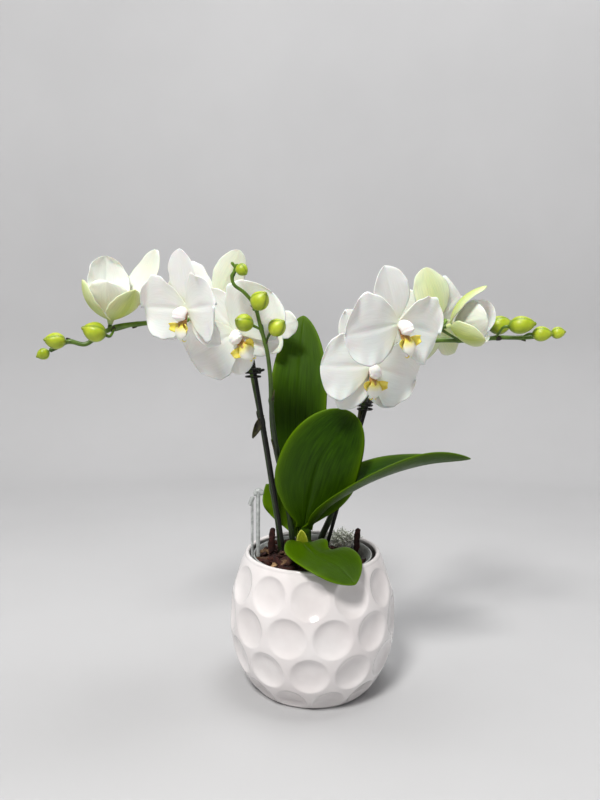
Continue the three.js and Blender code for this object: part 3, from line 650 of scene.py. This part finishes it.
def column_look():
    """White with a pink blush, and dark red underneath: partly the column's own colour, partly
    painted shade inside the hood.
    """
    look = Look("column", Roughness=0.38, Subsurface_Weight=0.2, Subsurface_Scale=0.002)
    blush = look.ramp(look.noise(160, 3), (0.45, 0.0), (0.75, 0.35))
    top = look.mix(blush, rgb(250, 248, 244), rgb(232, 206, 214))
    # The dark red underneath is partly the column's own colour and partly painted shade where the
    # hood hangs over the lip.
    look.colour(look.mix(look.mark("below"), top, rgb(158, 84, 76)))
    look.bump(look.noise(500, 2), 0.15, 0.0003)
    return look.material


LEAF_GREEN = (rgb(12, 40, 0), rgb(38, 70, 0), rgb(94, 128, 0))
YOUNG_GREEN = (rgb(112, 128, 20), rgb(168, 176, 46), rgb(196, 200, 90))
MOSS_TIP = rgb(254, 254, 252)
MOTTLED_LOOKS = {
    "glaze": {
        "colour": (30, 3, (0.35, rgb(226, 220, 219)), (0.7, rgb(236, 232, 231))),
        "rough": (70, 3, (0.3, 0.13), (0.75, 0.22)),
        "bump": (160, 2, 0.15, 0.0006),
        "Coat_Weight": 0.4,
        "Coat_Roughness": 0.05,
    },
    "clear_plastic": {
        "colour": (260, 3, (0.3, rgb(168, 172, 170)), (0.7, rgb(220, 224, 222))),
        "bump": (260, 3, 0.25, 0.0004),
        "Roughness": 0.22,
        "IOR": 1.46,
        "Transmission_Weight": 0.3,
    },
    "moss": {
        "colour": (120, 4, (0.3, rgb(222, 226, 208)), (0.48, rgb(244, 246, 236)), (0.7, MOSS_TIP)),
        "bump": (600, 3, 0.6, 0.0006),
        "Roughness": 0.95,
    },
    "bract": {
        "colour": (200, 3, (0.35, rgb(30, 24, 16)), (0.7, rgb(84, 84, 44))),
        "bump": (700, 3, 0.4, 0.0004),
        "Roughness": 0.7,
    },
    "black_plastic": {
        "colour": (240, 5, (0.3, rgb(14, 14, 12)), (0.8, rgb(34, 34, 30))),
        "rough": (240, 5, (0.3, 0.34), (0.8, 0.6)),
        "bump": (240, 5, 0.2, 0.0003),
        "Specular_IOR_Level": 0.25,
    },
}
LOOKS = {name: mottled_look(name, **parts) for name, parts in MOTTLED_LOOKS.items()}
LOOKS.update(
    bark=bark_look(),
    leaf=leaf_look("leaf", *LEAF_GREEN),
    young_leaf=leaf_look("young_leaf", *YOUNG_GREEN),
    spike=stem_look(),
    bud=bud_look(),
    tepal=tepal_look(),
    lip=lip_look(),
    column=column_look(),
)

# ---- pieces ----


def make_object(name, shape, materials):
    """A smooth-shaded mesh object with a shape's faces and marks."""
    mesh = bpy.data.meshes.new(name)
    mesh.from_pydata((shape.vertices * MM).tolist(), [], [list(map(int, f)) for f in shape.faces])
    for material in materials:
        mesh.materials.append(material)
    mesh.polygons.foreach_set("material_index", shape.slots)
    mesh.polygons.foreach_set("use_smooth", [True] * len(shape.faces))
    for mark, values in shape.marks.items():
        layer = mesh.attributes.new(mark, "FLOAT", "POINT")
        layer.data.foreach_set("value", np.asarray(values, np.float32))
    mesh.update()
    made = bpy.data.objects.new(name, mesh)
    bpy.context.scene.collection.objects.link(made)
    return made


def make_piece(name, shape, slot, replaces=(), looks=None):
    """A visible piece of the plant that rides on the root body. Its looks are the slot's own,
    unless others are named."""
    made = make_object(name, shape, [LOOKS[look] for look in looks or (slot,)])
    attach(made, "root")
    if replaces:
        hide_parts(*replaces)
    return made


# ---- cover pot, nursery pot ----


def pot_radius(height):
    """Outer radius of the cover pot at a height, before the dimples."""
    reach = np.where(height < POT["belly_height"], POT["lower_reach"], POT["upper_reach"])
    rise = np.abs(height - POT["belly_height"]) / reach
    return POT["belly_radius"] * (1 - rise ** POT["roundness"]) ** (1 / POT["roundness"])


def dimple_depth(turn, height):
    """How far the dimples pull in the outside at a turn and height."""
    pitch = 2 * math.pi / DIMPLE["per_row"]
    scoops = []
    for row, row_height in enumerate(DIMPLE["rows"]):
        start = math.radians(DIMPLE["first_angle"]) + row % 2 * pitch / 2
        steps = (turn - start) / pitch
        across = (steps - np.round(steps)) * pitch * pot_radius(height)
        radius = DIMPLE["share"] * pitch / 2 * pot_radius(row_height)
        distance = np.hypot(across, (height - row_height) * 1.04) / radius
        inside = 1 - distance ** DIMPLE["steepness"]
        scoops.append(0.5 * (inside + np.sqrt(inside**2 + DIMPLE["crease"] ** 2)))
    depth = DIMPLE["depth"] * smoothest(scoops, DIMPLE["crease"])
    return depth * np.clip((height - 1) / 6, 0, 1)


def cover_pot():
    """The glazed pot: a foot, a dimpled outside, a rounded lip and a plain inside."""
    low = [(0, 0), (POT["foot_radius"] - 1, 0), (POT["foot_radius"], 0.3)]
    lip_half, lip_rise = POT["lip"]
    shoulder = POT["height"] - lip_rise
    heights = np.linspace(1.2, shoulder - 0.6, 170)
    outside = [(float(pot_radius(h)), float(h)) for h in heights]
    middle = POT["mouth_radius"] + lip_half
    arc = np.linspace(0, math.pi, 15)
    lip = [(middle + lip_half * math.cos(a), shoulder + lip_rise * math.sin(a)) for a in arc]
    inside = [
        (float(pot_radius(h)) - lerp(POT["wall_at_lip"], POT["wall"], min(1, s * 6)), float(h))
        for s, h in zip(np.linspace(0, 1, 30), np.linspace(shoulder - 4, POT["floor"] + 5, 30))
    ]
    floor = [(POT["foot_radius"] - 4, POT["floor"]), (0, POT["floor"])]
    profile = low + outside + lip + inside + floor
    first = len(low) - 1  # the axis point is left out of the rings

    def dimpled(wide, high, turn):
        wide = wide.copy()
        rows = slice(first, first + len(outside))
        wide[rows] -= dimple_depth(turn, high[rows])
        return wide, high

    make_piece("pot_glazed", lathe(profile, 384, dimpled), "glaze", ["cover_pot"])


def nursery_radius(height):
    """Inner radius of the nursery pot at a height."""
    rise = (height - POT["floor"]) / (NURSERY_POT["rim"] - POT["floor"])
    return lerp(NURSERY_POT["base_radius"], NURSERY_POT["top_radius"], rise) - NURSERY_POT["wall"]


def nursery_pot():
    """A clear cup with upright ribs and a rolled rim."""
    rim, wall = NURSERY_POT["rim"], NURSERY_POT["wall"]
    bottom = POT["floor"] + 0.3
    up = np.linspace(bottom, rim - 6, 24)
    outside = [(nursery_radius(h) + wall, h) for h in up]
    roll = [
        (nursery_radius(rim) + wall + 0.7 * math.cos(a), rim - 1.2 + 1.2 * math.sin(a))
        for a in np.linspace(-1.2, math.pi * 0.9, 10)
    ]
    inside = [(nursery_radius(h), h) for h in np.linspace(rim - 2.5, bottom + wall, 24)]
    profile = [(0, bottom), *outside, *roll, *inside, (0, bottom + wall)]

    def ribbed(wide, high, turn):
        share = np.clip((rim - 5 - high) / 4, 0, 1) * np.clip((high - bottom - 4) / 4, 0, 1)
        return wide + RIBS["depth"] * share * np.cos(turn * RIBS["count"]), high

    make_piece("nursery_cup", lathe(profile, 480, ribbed), "clear_plastic", ["nursery_pot"])


# ---- bark and moss ----


def bark_height(x, y):
    """Height of the bark's top, as in the CAD model."""
    from_crown = np.hypot(x - CROWN["x"], y - CROWN["y"])
    heap = BARK["heap"] * np.exp(-((from_crown / 18) ** 2))
    dip = BARK["dip"] * np.clip((x - 8) / 24, 0, 1)
    bumps = 1.1 * np.sin(x * 0.42 + 1.3) * np.sin(y * 0.5 + 0.4) + 0.7 * np.sin((x + y) * 0.9)
    return BARK["level"] + heap - dip + bumps


def bark_bed():
    """The dark body of the bark, under the loose chips."""
    bottom = POT["floor"] + 2
    reach = nursery_radius(BARK["level"]) - 0.6
    rings = np.linspace(1, 0.02, 40)
    profile = [(0, bottom), (nursery_radius(bottom) - 0.4, bottom)]
    profile += [(reach * ring, BARK["level"]) for ring in rings] + [(0, BARK["level"] + 4)]

    def heaped(wide, high, turn):
        x, y = wide * np.cos(turn), wide * np.sin(turn)
        top = bark_height(x, y) - 1.2
        places = [Vector((a, b, 0)) * 0.45 for a, b in zip(x.ravel(), y.ravel())]
        top += np.array([noise.fractal(place, 1, 2, 4) for place in places]).reshape(x.shape)
        return wide, np.where(high > bottom, top, high)

    make_piece("bark_heap", lathe(profile, 120, heaped), "bark", ["bark_bed"])


def chip_template():
    """A box cut fine enough to be broken up."""
    work = bmesh.new()
    bmesh.ops.create_cube(work, size=1)
    bmesh.ops.subdivide_edges(work, edges=work.edges[:], cuts=4, use_grid_fill=True)
    vertices = np.array([v.co[:] for v in work.verts])
    faces = [[v.index for v in face.verts] for face in work.faces]
    work.free()
    return vertices, faces


CHIP_VERTICES, CHIP_FACES = chip_template()


def chip(size, centre, turns, seed):
    """A splinter of bark: a box with worn corners, a wandering outline and a rough skin."""
    cornered = (np.abs(CHIP_VERTICES).sum(1, keepdims=True) - 0.5).clip(0)
    rounded = CHIP_VERTICES * (1 - 0.25 * cornered)
    wide = rounded * np.array(size)
    shake = [noise.noise_vector(Vector(v) * 0.22 + Vector((seed * 7.3, 0, 0))) for v in wide]
    rough = [noise.noise_vector(Vector(v) * 0.9 + Vector((0, seed * 3.1, 0))) for v in wide]
    wide = wide + np.array(shake) * min(size) * 0.5 + np.array(rough) * min(size) * 0.16
    turned = wide @ np.array(Euler(turns).to_matrix()).T
    return Shape(turned + np.array(centre), CHIP_FACES)


def loose_bark():
    """Loose chips that lie on the heap, a few of them pale, and two splinters that stand in it."""
    chips = []
    for seed in range(LOOSE_CHIPS["count"]):
        ring = (nursery_radius(BARK["level"]) - 4) * math.sqrt(RANDOM.random())
        turn = RANDOM.uniform(0, 2 * math.pi)
        x, y = ring * math.cos(turn), ring * math.sin(turn)
        size = RANDOM.uniform(LOOSE_CHIPS["least"], LOOSE_CHIPS["most"])
        turns = RANDOM.uniform((-0.5, -0.5, 0), (0.5, 0.5, 6.3))
        piece = chip(size, (x, y, bark_height(x, y) + 0.4), turns, seed)
        piece.marks["pale"] = np.full(len(piece.vertices), RANDOM.random() ** 9)
        chips.append(piece)
    make_piece("bark_chips", combine(chips), "bark")
    for seed, (name, spec) in enumerate(SPLINTERS.items(), 201):
        splinter = chip(spec["size"], spec["centre"], spec["turns"], seed)
        make_piece(f"bark_splinter_{name}", splinter, "bark", [f"bark_chip_{name}"])


def moss():
    """A tuft of curled threads."""
    centre, reach = np.array(MOSS["centre"]), np.array(MOSS["reach"])
    threads = []
    for _ in range(MOSS["threads"]):
        start = centre + reach * RANDOM.normal(size=3) * (0.42, 0.42, 0.3)
        lean = RANDOM.normal(size=(3, 3)) * (1.6, 1.6, 1.2) + (0, 0, 1.1)
        points = np.vstack([[start], start + np.cumsum(lean, 0)])
        threads.append(tube(Route(points), lambda t, angle: lerp(0.75, 0.3, t), 5, 7, 1))
    make_piece("moss_threads", combine(threads), "moss", ["moss_tuft"])


# ---- leaves ----


def outline(u, widest_at, tip):
    """0 at the base, 1 where a blade is widest, 0 at its end, which is round where tip is 0.5 and
    more pointed where it is higher."""
    rise = np.sin(math.pi / 2 * np.clip(u / widest_at, 0, 1)) ** 0.9
    fall = np.clip(1 - np.clip((u - widest_at) / (1 - widest_at), 0, 1) ** 2.2, 0, 1) ** tip
    return np.where(u < widest_at, rise, fall)


def leaf(name, number):
    """A blade about its midrib, folded and rippled, with a groove along the middle."""
    spec = LEAVES[name]
    midrib = Route(spec["route"])
    base_face, tip_face = np.array(spec["faces"], float)
    size = spec["half_width"]
    dent_at, dent_reach, dent = spec.get("notch", (0, 1, 0))
    ripple = spec.get("wave", 0.03)

    def surface(s, v):
        u = 1 - (1 - s) ** 1.5
        along = midrib.along(u)
        across = unit(np.cross(along, lerp(base_face, tip_face, u[..., None])))
        up = np.cross(across, along)
        narrowest = np.where(u < 0.5, 0.22, 0.004)
        width = size * np.maximum(outline(u, spec["widest_at"], spec["tip"]), narrowest)
        bite = dent * np.exp(-(((u - dent_at) / dent_reach) ** 2)) * np.clip(-v * 2, 0, 1)
        width = width * (1 - bite)
        rise = spec["fold"] * width * v**2 * (1 + 2 * np.exp(-u * 9))
        fade = np.sin(math.pi * np.clip(u, 0, 1)) ** 0.5
        groove = -0.035 * size * np.exp(-((v / 0.07) ** 2)) * fade
        wave = ripple * size * v**2 * np.sin(9 * u + 2.4 * number + 1.3 * v) * np.sin(math.pi * u)
        lift = rise + groove + wave
        return midrib.at(u) + across * (width * v)[..., None] + up * lift[..., None]

    def tone(along, across, upper):
        return lerp(*spec["tone"], along)

    slot = "young_leaf" if name == "leaf_new" else "leaf"
    blade = sheet(surface, LEAF_THICKNESS, (96, 41), ("tone", tone))
    make_piece(f"{name}_blade", blade, slot, [name])


def crown():
    """The short stem that the leaves clasp."""
    x, y, radius = CROWN["x"], CROWN["y"], CROWN["radius"]
    axis = Route([(x, y, CROWN["bottom"]), (x, y, 112), (x, y, CROWN["top"])])

    def clasped(t, angle):
        ridges = 0.04 * np.cos(2 * angle + 7 * t) + 0.03 * np.sin(20 * t)
        return radius * lerp(1, 0.62, t) * (1 + ridges)

    make_piece("crown_stem", tube(axis, clasped, 24, 30, 3), "leaf", ["crown"])


# ---- spikes ----


def flower_frame(flower):
    """The flower's axis, the way its dorsal sepal points, and across."""
    turn, tilt, spin = (math.radians(flower[key]) for key in ("azimuth", "elevation", "roll"))
    axis = np.array(
        [math.sin(turn) * math.cos(tilt), -math.cos(turn) * math.cos(tilt), math.sin(tilt)]
    )
    level = np.array([math.cos(turn), math.sin(turn), 0])
    upright = np.cross(axis, level)
    dorsal = upright * math.cos(spin) + level * math.sin(spin)
    across = level * math.cos(spin) - upright * math.sin(spin)
    return axis, dorsal, across


def stalk(start, end, direction, radius, approach):
    """The stalk of a flower or bud, thicker where it meets the flower."""
    start, end = np.array(start), np.array(end)
    bend = end - direction * approach * np.linalg.norm(end - start)

    def thick(t, angle):
        return radius * lerp(0.85, 1.2, t**2) * (1 + 0.05 * np.cos(3 * angle))

    return tube(Route([start, bend, end]), thick, 10, 16, 2)


def bract(route, at, radius, length, flare, turn):
    """A pointed scale that clasps the stem at a node."""
    base, ahead = route.at(np.array([at])), route.along(np.array([at]))
    side, up = frames(route, np.array([at]))

    def surface(s, v):
        angle = turn + v * 1.5 * (1 - s) ** 0.7
        out = np.cos(angle)[..., None] * side[0] + np.sin(angle)[..., None] * up[0]
        reach = radius + 0.35 + flare * s**1.5
        return base[0] + ahead[0] * (length * s)[..., None] + out * reach[..., None]

    return sheet(surface, BRACT_THICKNESS, (12, 11))


def dry_bract(points):
    """A dead scale that hangs off the stem, curled up along its length."""
    route = Route(points)

    def surface(s, v):
        along = route.along(s)
        across = unit(np.cross(along, np.broadcast_to((0.5, -1.0, 0.2), along.shape)))
        up = np.cross(across, along)
        width = DRY_BRACT["half_width"] * np.sin(math.pi * np.clip(s, 0.06, 0.98)) ** 0.7
        curl = 0.5 * width * v**2 + 0.5 * np.sin(9 * s + 2 * v)
        return route.at(s) + across * (width * v)[..., None] + up * curl[..., None]

    return sheet(surface, DRY_BRACT["thickness"], (24, 11))


def spike(name):
    """A flower spike: its stem, swollen at the nodes, the stalks of what it carries, and bracts."""
    spec = SPIKES[name]
    route = Route(spec["route"])
    low, high = spec["radii"]
    joints = [flower["at"] for flower in FLOWERS if flower["spike"] == name]
    joints += [bud[1] for bud in BUDS.values() if bud[0] == name and bud[1] < 1]

    def thick(t, angle):
        swell = sum(0.5 * np.exp(-(((t - at) * route.length / 2.4) ** 2)) for at in spec["nodes"])
        knots = sum(0.3 * np.exp(-(((t - at) * route.length / 2.0) ** 2)) for at in joints)
        return lerp(low, high, t) + swell + knots

    stem = tube(route, thick, 16, 220, 3)
    for flower in FLOWERS:
        if flower["spike"] == name:
            axis = flower_frame(flower)[0]
            end = np.array(flower["centre"]) - axis * (KNOB_LENGTH * flower["size"] + 0.2)
            start = route.at(np.array(flower["at"]))
            stem.add(stalk(start, end, axis, FLOWER_STALK, flower.get("approach", APPROACH)))
    for bud_spike, at, centre, axis, length, _ in BUDS.values():
        if bud_spike == name and at < 1:
            axis = unit(np.array(axis, float))
            end = np.array(centre) - axis * length / 2
            stem.add(stalk(route.at(np.array(at)), end, axis, BUD_STALK, APPROACH))
    height = stem.vertices[:, 2]
    stem.marks["fresh"] = np.clip((height - GREEN_FROM) / (GREEN_BY - GREEN_FROM), 0, 1)
    scales = [bract(route, at, lerp(low, high, at), 9, 0.8, 2.0 * at * 9) for at in spec["nodes"]]
    scales += [bract(route, at, lerp(low, high, at), 4, 1.3, 31 * at) for at in joints]
    if "dry" in spec:
        scales.append(dry_bract(spec["dry"]))
    for scale in scales:
        stem.add(scale, 1)
    make_piece(f"spike_{name}_stem", stem, "spike", [f"spike_{name}"], ("spike", "bract"))


def bud(name):
    """A closed bud: three sepals that meet at seams and a soft point."""
    _, _, centre, axis, length, radius = BUDS[name]
    axis = unit(np.array(axis, float))
    ends = np.array(centre) - axis * length / 2, np.array(centre) + axis * length / 2
    line = Route([ends[0], np.array(centre), ends[1]])

    def seams(angle):
        third = (angle * 3 / (2 * math.pi) + 0.25) % 1
        return np.exp(-(((third - 0.5) / 0.07) ** 2))

    def swollen(t, angle):
        body = np.sin(math.pi * np.clip(t, 0.0, 1.0) ** 0.85) ** 0.62
        point = 0.1 * np.exp(-(((1 - t) / 0.05) ** 2))
        groove = 1 - 0.07 * seams(angle) * np.sin(math.pi * t)
        keel = 1 + 0.035 * np.cos(3 * angle)
        return radius * np.maximum(body, 0.12 + point) * groove * keel

    shape = tube(line, swollen, 48, 36, 2)
    shape.marks["seam"] = seams(shape.marks["around"]) * 0.8
    make_piece(f"{name}_closed", shape, "bud", [name])


# ---- flowers ----


def tepal(flower, spec):
    """One tepal: a sheet that leaves the centre at one angle from the axis and curls to another."""
    axis, dorsal, across = flower_frame(flower)
    kind, size = spec["kind"], flower["size"]
    form = TEPALS[kind]
    spread = {**(HALF_OPEN if flower.get("half_open") else OPEN), **flower.get("spread", {})}
    spin = math.radians(spec["turn"])
    outward = dorsal * math.cos(spin) + across * math.sin(spin)
    sideways = across * math.cos(spin) - dorsal * math.sin(spin)
    start, end = (math.radians(angle) for angle in spec.get("spread", spread[kind]))
    arc = spec["length"] * size / (end - start)
    half = spec["half_width"] * size * spread["width"][kind]
    centre = np.array(flower["centre"]) - axis * form["set_back"] * size
    phase = RANDOM.uniform(0, 6.3, 4)
    ruffle = form["ruffle"]

    def surface(s, v):
        u = 1 - (1 - s) ** 1.6
        angle = lerp(start, end, u)
        narrowest = np.where(u < 0.5, 0.12, 0.004)
        width = half * np.maximum(outline(u, spec["widest_at"], form["tip"]), narrowest)
        edge = np.sign(v)
        scallop = np.sin(10 * u + phase[3] * edge) + 0.5 * np.sin(27 * u + phase[2] * edge)
        width = width * (1 + ruffle * 0.5 * v**4 * scallop)
        wave = np.sin(9 * u + phase[0] + 2 * v) + 0.4 * np.sin(24 * u + phase[1] + 3 * v)
        ripple = ruffle * half * np.abs(v) ** 2.5 * wave * u
        billow = 0.06 * half * np.sin(3.1 * u + phase[1]) * np.sin(2.2 * v + phase[2]) * u
        crease = -0.03 * half * np.exp(-((v / 0.1) ** 2)) * np.sin(math.pi * u)
        lift = spread["cup"] * width * v**2 + ripple + billow + crease
        inward = axis * np.sin(angle)[..., None] - outward * np.cos(angle)[..., None]
        return (
            centre
            + outward * (arc * (math.cos(start) - np.cos(angle)) - form["overlap"])[..., None]
            + axis * (arc * (np.sin(angle) - math.sin(start)))[..., None]
            + sideways * (width * v)[..., None]
            + inward * lift[..., None]
        )

    young = flower.get("green", 0.06) * form["green"]

    def green(along, across_share, upper):
        outside = 1 - upper
        middle = np.exp(-((across_share / 0.75) ** 2))
        return young * lerp(0.25, 1, outside) * lerp(0.6, 1, middle) * lerp(1, 0.75, along)

    return sheet(surface, TEPAL_THICKNESS, form["cells"], ("green", green))


def knob(flower):
    """The end of the ovary, behind the tepals."""
    axis = flower_frame(flower)[0]
    centre, size = np.array(flower["centre"]), flower["size"]
    line = Route([centre - axis * behind * size for behind in (KNOB_LENGTH, 3, 1.2)])
    shape = tube(line, lambda t, angle: lerp(1.5, 2.6, t) * size, 14, 10, 2)
    shape.marks["green"] = np.full(len(shape.vertices), 0.7)
    return shape


def lip_place(flower):
    """Turns (right, up, forward) about the flower's centre into places."""
    axis, dorsal, across = flower_frame(flower)
    form = HALF_OPEN_LIP if flower.get("half_open") else LIP
    scale = flower["size"] * form["scale"]

    def place(right, up, forward):
        right, up, forward = (np.asarray(value, float)[..., None] for value in (right, up, forward))
        offset = across * right * scale + dorsal * up * scale
        return np.array(flower["centre"]) + offset + axis * (form["forward"] + forward * scale)

    return place, scale


def column(flower):
    """The column: a white club that arches over the lip, with the anther cap at its end."""
    place, scale = lip_place(flower)
    line = ((0, -0.8, -0.6), (0, -1.4, 2.6), (0, -3.2, 5.6), (0, -6.6, 7))
    route = Route([place(*point) for point in line])

    def club(t, angle):
        body = lerp(2.6, 4.5, np.sin(math.pi / 2 * np.clip(t / 0.7, 0, 1)))
        cap = np.sqrt(np.clip(1 - (np.clip(t - 0.75, 0, 1) / 0.27) ** 2, 0, 1))
        seam = 1 - 0.1 * np.exp(-(((t - 0.74) / 0.03) ** 2))
        return body * cap * seam * scale * (1 + 0.13 * np.cos(2 * angle))

    shape = tube(route, club, 24, 30, 2)
    # 'below' marks the underside of the column, which gets dark red: partly its own colour, partly
    # painted shade inside the hood.
    depth = (shape.vertices - route.at(shape.marks["along"])) @ flower_frame(flower)[1]
    shape.marks["below"] = np.clip(-depth / (1.8 * scale) - 0.3, 0, 1)
    return shape


def lip(flower):
    """A mid lobe with a callus and two tendrils, between two raised side lobes."""
    place, scale = lip_place(flower)

    def mid_lobe(s, v):
        waist = lerp(3.0, 2.2, np.clip(s * 3, 0, 1))
        blade = 4.2 * np.exp(-(((s - 0.68) / 0.22) ** 2))
        width = (waist + blade) * (1 - np.clip((s - 0.8) / 0.2, 0, 1) ** 1.5 * 0.8)
        droop = -4 - 18 * s
        reach = 0.8 + 7.6 * np.sin(s * 2.2) - 0.07 * (width * v) ** 2
        return place(width * v, droop + 0.9 * v**2, reach)

    def side_lobe(hand):
        def surface(s, v):
            height = 1.4 + 2.4 * np.sin(math.pi * np.clip(s * 0.8 + 0.12, 0, 1)) ** 0.8
            right = 1.0 + 8.4 * s - 0.5 * v**2
            curl = 1.6 * v**2 * s
            return place(hand * right, -13.8 + height * v + 2.6 * s, 1.6 + 6 * s**0.8 + curl)

        return surface

    def callus(t, angle):
        swell = scale * 1.5 * np.sin(math.pi * np.clip(t, 0.05, 0.95)) ** 0.6
        return swell * (1 + 0.12 * np.cos(2 * angle))

    def bar(points, radius, sides, spans, ends):
        """A tube through places given as right, up and forward."""
        return tube(Route([place(*point) for point in points]), radius, sides, spans, ends)

    whites = ("white", lambda along, across, upper: np.clip((along - 0.42) * 4, 0, 1))
    whole = sheet(mid_lobe, 0.9 * scale, (30, 15), whites)
    for hand in (-1, 1):
        lobe = sheet(side_lobe(hand), 0.8 * scale, (22, 13))
        lobe.marks["along"] = lerp(0.22, 1, lobe.marks["along"])
        whole.add(lobe)
        tendril = ((hand * 0.7, -21.4, 6.2), (hand * 1.8, -22.5, 5.4), (hand * 2.8, -21.5, 4.4))
        thread = bar(tendril, lambda t, angle: lerp(0.5, 0.18, t) * scale, 8, 10, 1)
        thread.marks["along"] = np.ones(len(thread.vertices))
        whole.add(thread)
    bump = bar(((0, -9.6, 3), (0, -11, 6), (0, -12.6, 7.2)), callus, 14, 12, 1)
    root = ((0, -2, 1.2), (0, -7, 2), (0, -12.4, 3.8))
    throat = bar(root, lambda t, angle: lerp(2.2, 2.8, t) * scale, 16, 14, 2)
    for part in (bump, throat):
        part.marks["along"] = part.marks["along"] * 0.35
        whole.add(part)
    return whole


def flower_pieces(number, flower):
    """One flower's petals, sepals, lip and column."""
    label = f"flower_{number}"
    petals = []
    for turn, length in zip(
        flower.get("petal_turns", PETAL_TURNS), flower.get("petal_lengths", PETAL_LENGTHS)
    ):
        own = {"turn": turn, "length": length}
        petals.append(tepal(flower, {**PETAL, **flower.get("petal", {}), **own}))
    sepals = {"dorsal": tepal(flower, {**DORSAL, **flower.get("dorsal", {})})}
    for side, turn in zip(("left", "right"), flower.get("lateral_turns", LATERAL_TURNS)):
        sepals[side] = tepal(flower, {**LATERAL, **flower.get("lateral", {}), "turn": turn})
    sepals["dorsal"].add(knob(flower))
    for side, shape in zip(("left", "right"), petals):
        make_piece(f"{label}_petal_{side}", shape, "tepal", [f"{label}_petals"])
    for side, shape in sepals.items():
        make_piece(f"{label}_sepal_{side}", shape, "tepal", [f"{label}_sepals"])
    make_piece(f"{label}_labellum", lip(flower), "lip", [f"{label}_lip"])
    make_piece(f"{label}_column", column(flower), "lip", looks=("column",))


# ---- supports and label ----


def stake(name):
    """A straight support rod."""
    foot, top = (np.array(end, float) for end in STAKES[name])
    rod = tube(Route([foot, (foot + top) / 2, top]), lambda t, angle: STAKE_RADIUS, 20, 24, 3)
    make_piece(f"stake_{name}_rod", rod, "black_plastic", [f"stake_{name}"])


def claw_clip(name):
    """A claw clip round spike and stake: two jaws, three curved teeth each side, two grips."""
    height, side_x, side_y = CLIPS[name]
    foot, top = (np.array(end, float) for end in STAKES[name])
    centre = lerp(foot, top, (height - foot[2]) / (top[2] - foot[2])) + (side_x, side_y, 0)
    parts = []

    def bar(points, radius, sides=10):
        route = Route([centre + point for point in points])
        parts.append(tube(route, lambda t, angle: radius * lerp(1, 0.6, t**2), sides, 18, 2))

    ring = np.linspace(0.35, 2 * math.pi - 0.35, 14)
    for hand in (-1, 1):
        for lift in (-3, 0, 3):
            sweep = ring[:8]
            tooth = [(hand * 5.6 * math.sin(a), 8 * math.cos(a), lift) for a in sweep * 0.95]
            bar(tooth, 0.8)
        bar([(hand * 1.5, 7, 0), (hand * 4, 9, 1), (hand * 8, 9.8, 2)], 1.5)
    bar([(0, 7.6, -4.2), (0, 7.8, 0), (0, 7.6, 4.2)], 1.6, 14)
    make_piece(f"clip_{name}_claw", combine(parts), "black_plastic", [f"clip_{name}"])


def label_pick():
    """The clear pick of a plant label: two prongs and a jointed head."""
    x, rim, knob = LABEL["x"], NURSERY_POT["rim"], LABEL["knob"]
    parts = []

    def bar(points, radius):
        """A squarish bar. Its points are right of the pick's middle, and up from the pot's rim."""
        route = Route([(x + right, LABEL["y"], rim + up) for right, up in points])
        parts.append(tube(route, lambda t, angle: radius * (1 + 0.12 * np.cos(4 * angle)), 12, 30))

    bar([(-2, -7), (-1.9, 20), (-1.8, knob - 10)], 1.0)
    bar([(2.7, -2), (2.7, 24), (3, knob - 3)], 1.5)
    bar([(-3.4, knob - 13), (-2.4, knob - 10), (-1.2, knob - 7)], 1.5)
    bar([(0.4, knob - 5), (3, knob - 2), (6.4, knob - 4)], 1.9)
    make_piece("label_pick_clear", combine(parts), "clear_plastic", ["label_pick"])


# ---- stage, light and camera ----


def stage():
    """A pale floor that sweeps up into a plain round wall."""
    reach, bend = STAGE["reach"], STAGE["bend"]
    sweep = [(0, 0), (reach - bend, 0)]
    sweep += [
        (reach - bend + bend * math.sin(a), bend - bend * math.cos(a))
        for a in np.linspace(0.1, math.pi / 2, 16)
    ]
    sweep.append((reach, STAGE["top"]))
    turns = np.linspace(0, 2 * math.pi, 97)
    middle = STAGE["back"] - reach
    points = [
        [(r * math.cos(a), r * math.sin(a) + middle, z - STAGE["drop"]) for a in turns]
        for r, z in sweep
    ]
    ids = np.arange(len(sweep) * len(turns)).reshape(len(sweep), -1)
    dark, light = (rgb(*tone) for tone in STAGE_TONES)
    look = mottled_look("backdrop", colour=(3, 3, (0.3, dark), (0.7, light)), Roughness=0.9)
    backdrop = make_object("backdrop", Shape(points, quads(ids)[:, ::-1]), [look])


def studio():
    """A faint even light from all round, and the lamps."""
    world = bpy.data.worlds.new("studio")
    bpy.context.scene.world = world
    world.use_nodes = True
    background = world.node_tree.nodes["Background"]
    background.inputs["Color"].default_value = WORLD["colour"]
    background.inputs["Strength"].default_value = WORLD["strength"]
    for name, (place, size, power, colour) in LIGHTS.items():
        light = bpy.data.lights.new(name, "AREA")
        light.shape, light.size, light.energy, light.color = "DISK", size, power, colour
        made = bpy.data.objects.new(name, light)
        made.location = place
        made.rotation_euler = (Vector(LIT) - Vector(place)).to_track_quat("-Z", "Y").to_euler()
        bpy.context.scene.collection.objects.link(made)
    bpy.context.scene.view_settings.view_transform = "Standard"


def camera():
    """A level camera in front, tilted down a little."""
    lens = bpy.data.cameras.new("camera")
    lens.sensor_width, lens.lens = CAMERA["sensor"], CAMERA["lens"]
    made = bpy.data.objects.new("camera", lens)
    made.location = CAMERA["place"]
    made.rotation_euler = (math.radians(CAMERA["tilt"]), 0, 0)
    bpy.context.scene.collection.objects.link(made)
    bpy.context.scene.camera = made


# ---- the plant ----

camera()
studio()
stage()
cover_pot()
nursery_pot()
bark_bed()
loose_bark()
moss()
crown()
for order, leaf_name in enumerate(LEAVES):
    leaf(leaf_name, order)
for spike_name in SPIKES:
    spike(spike_name)
for order, flower_spec in enumerate(FLOWERS, 1):
    flower_pieces(order, flower_spec)
for bud_name in BUDS:
    bud(bud_name)
for side_name in STAKES:
    stake(side_name)
    claw_clip(side_name)
label_pick()
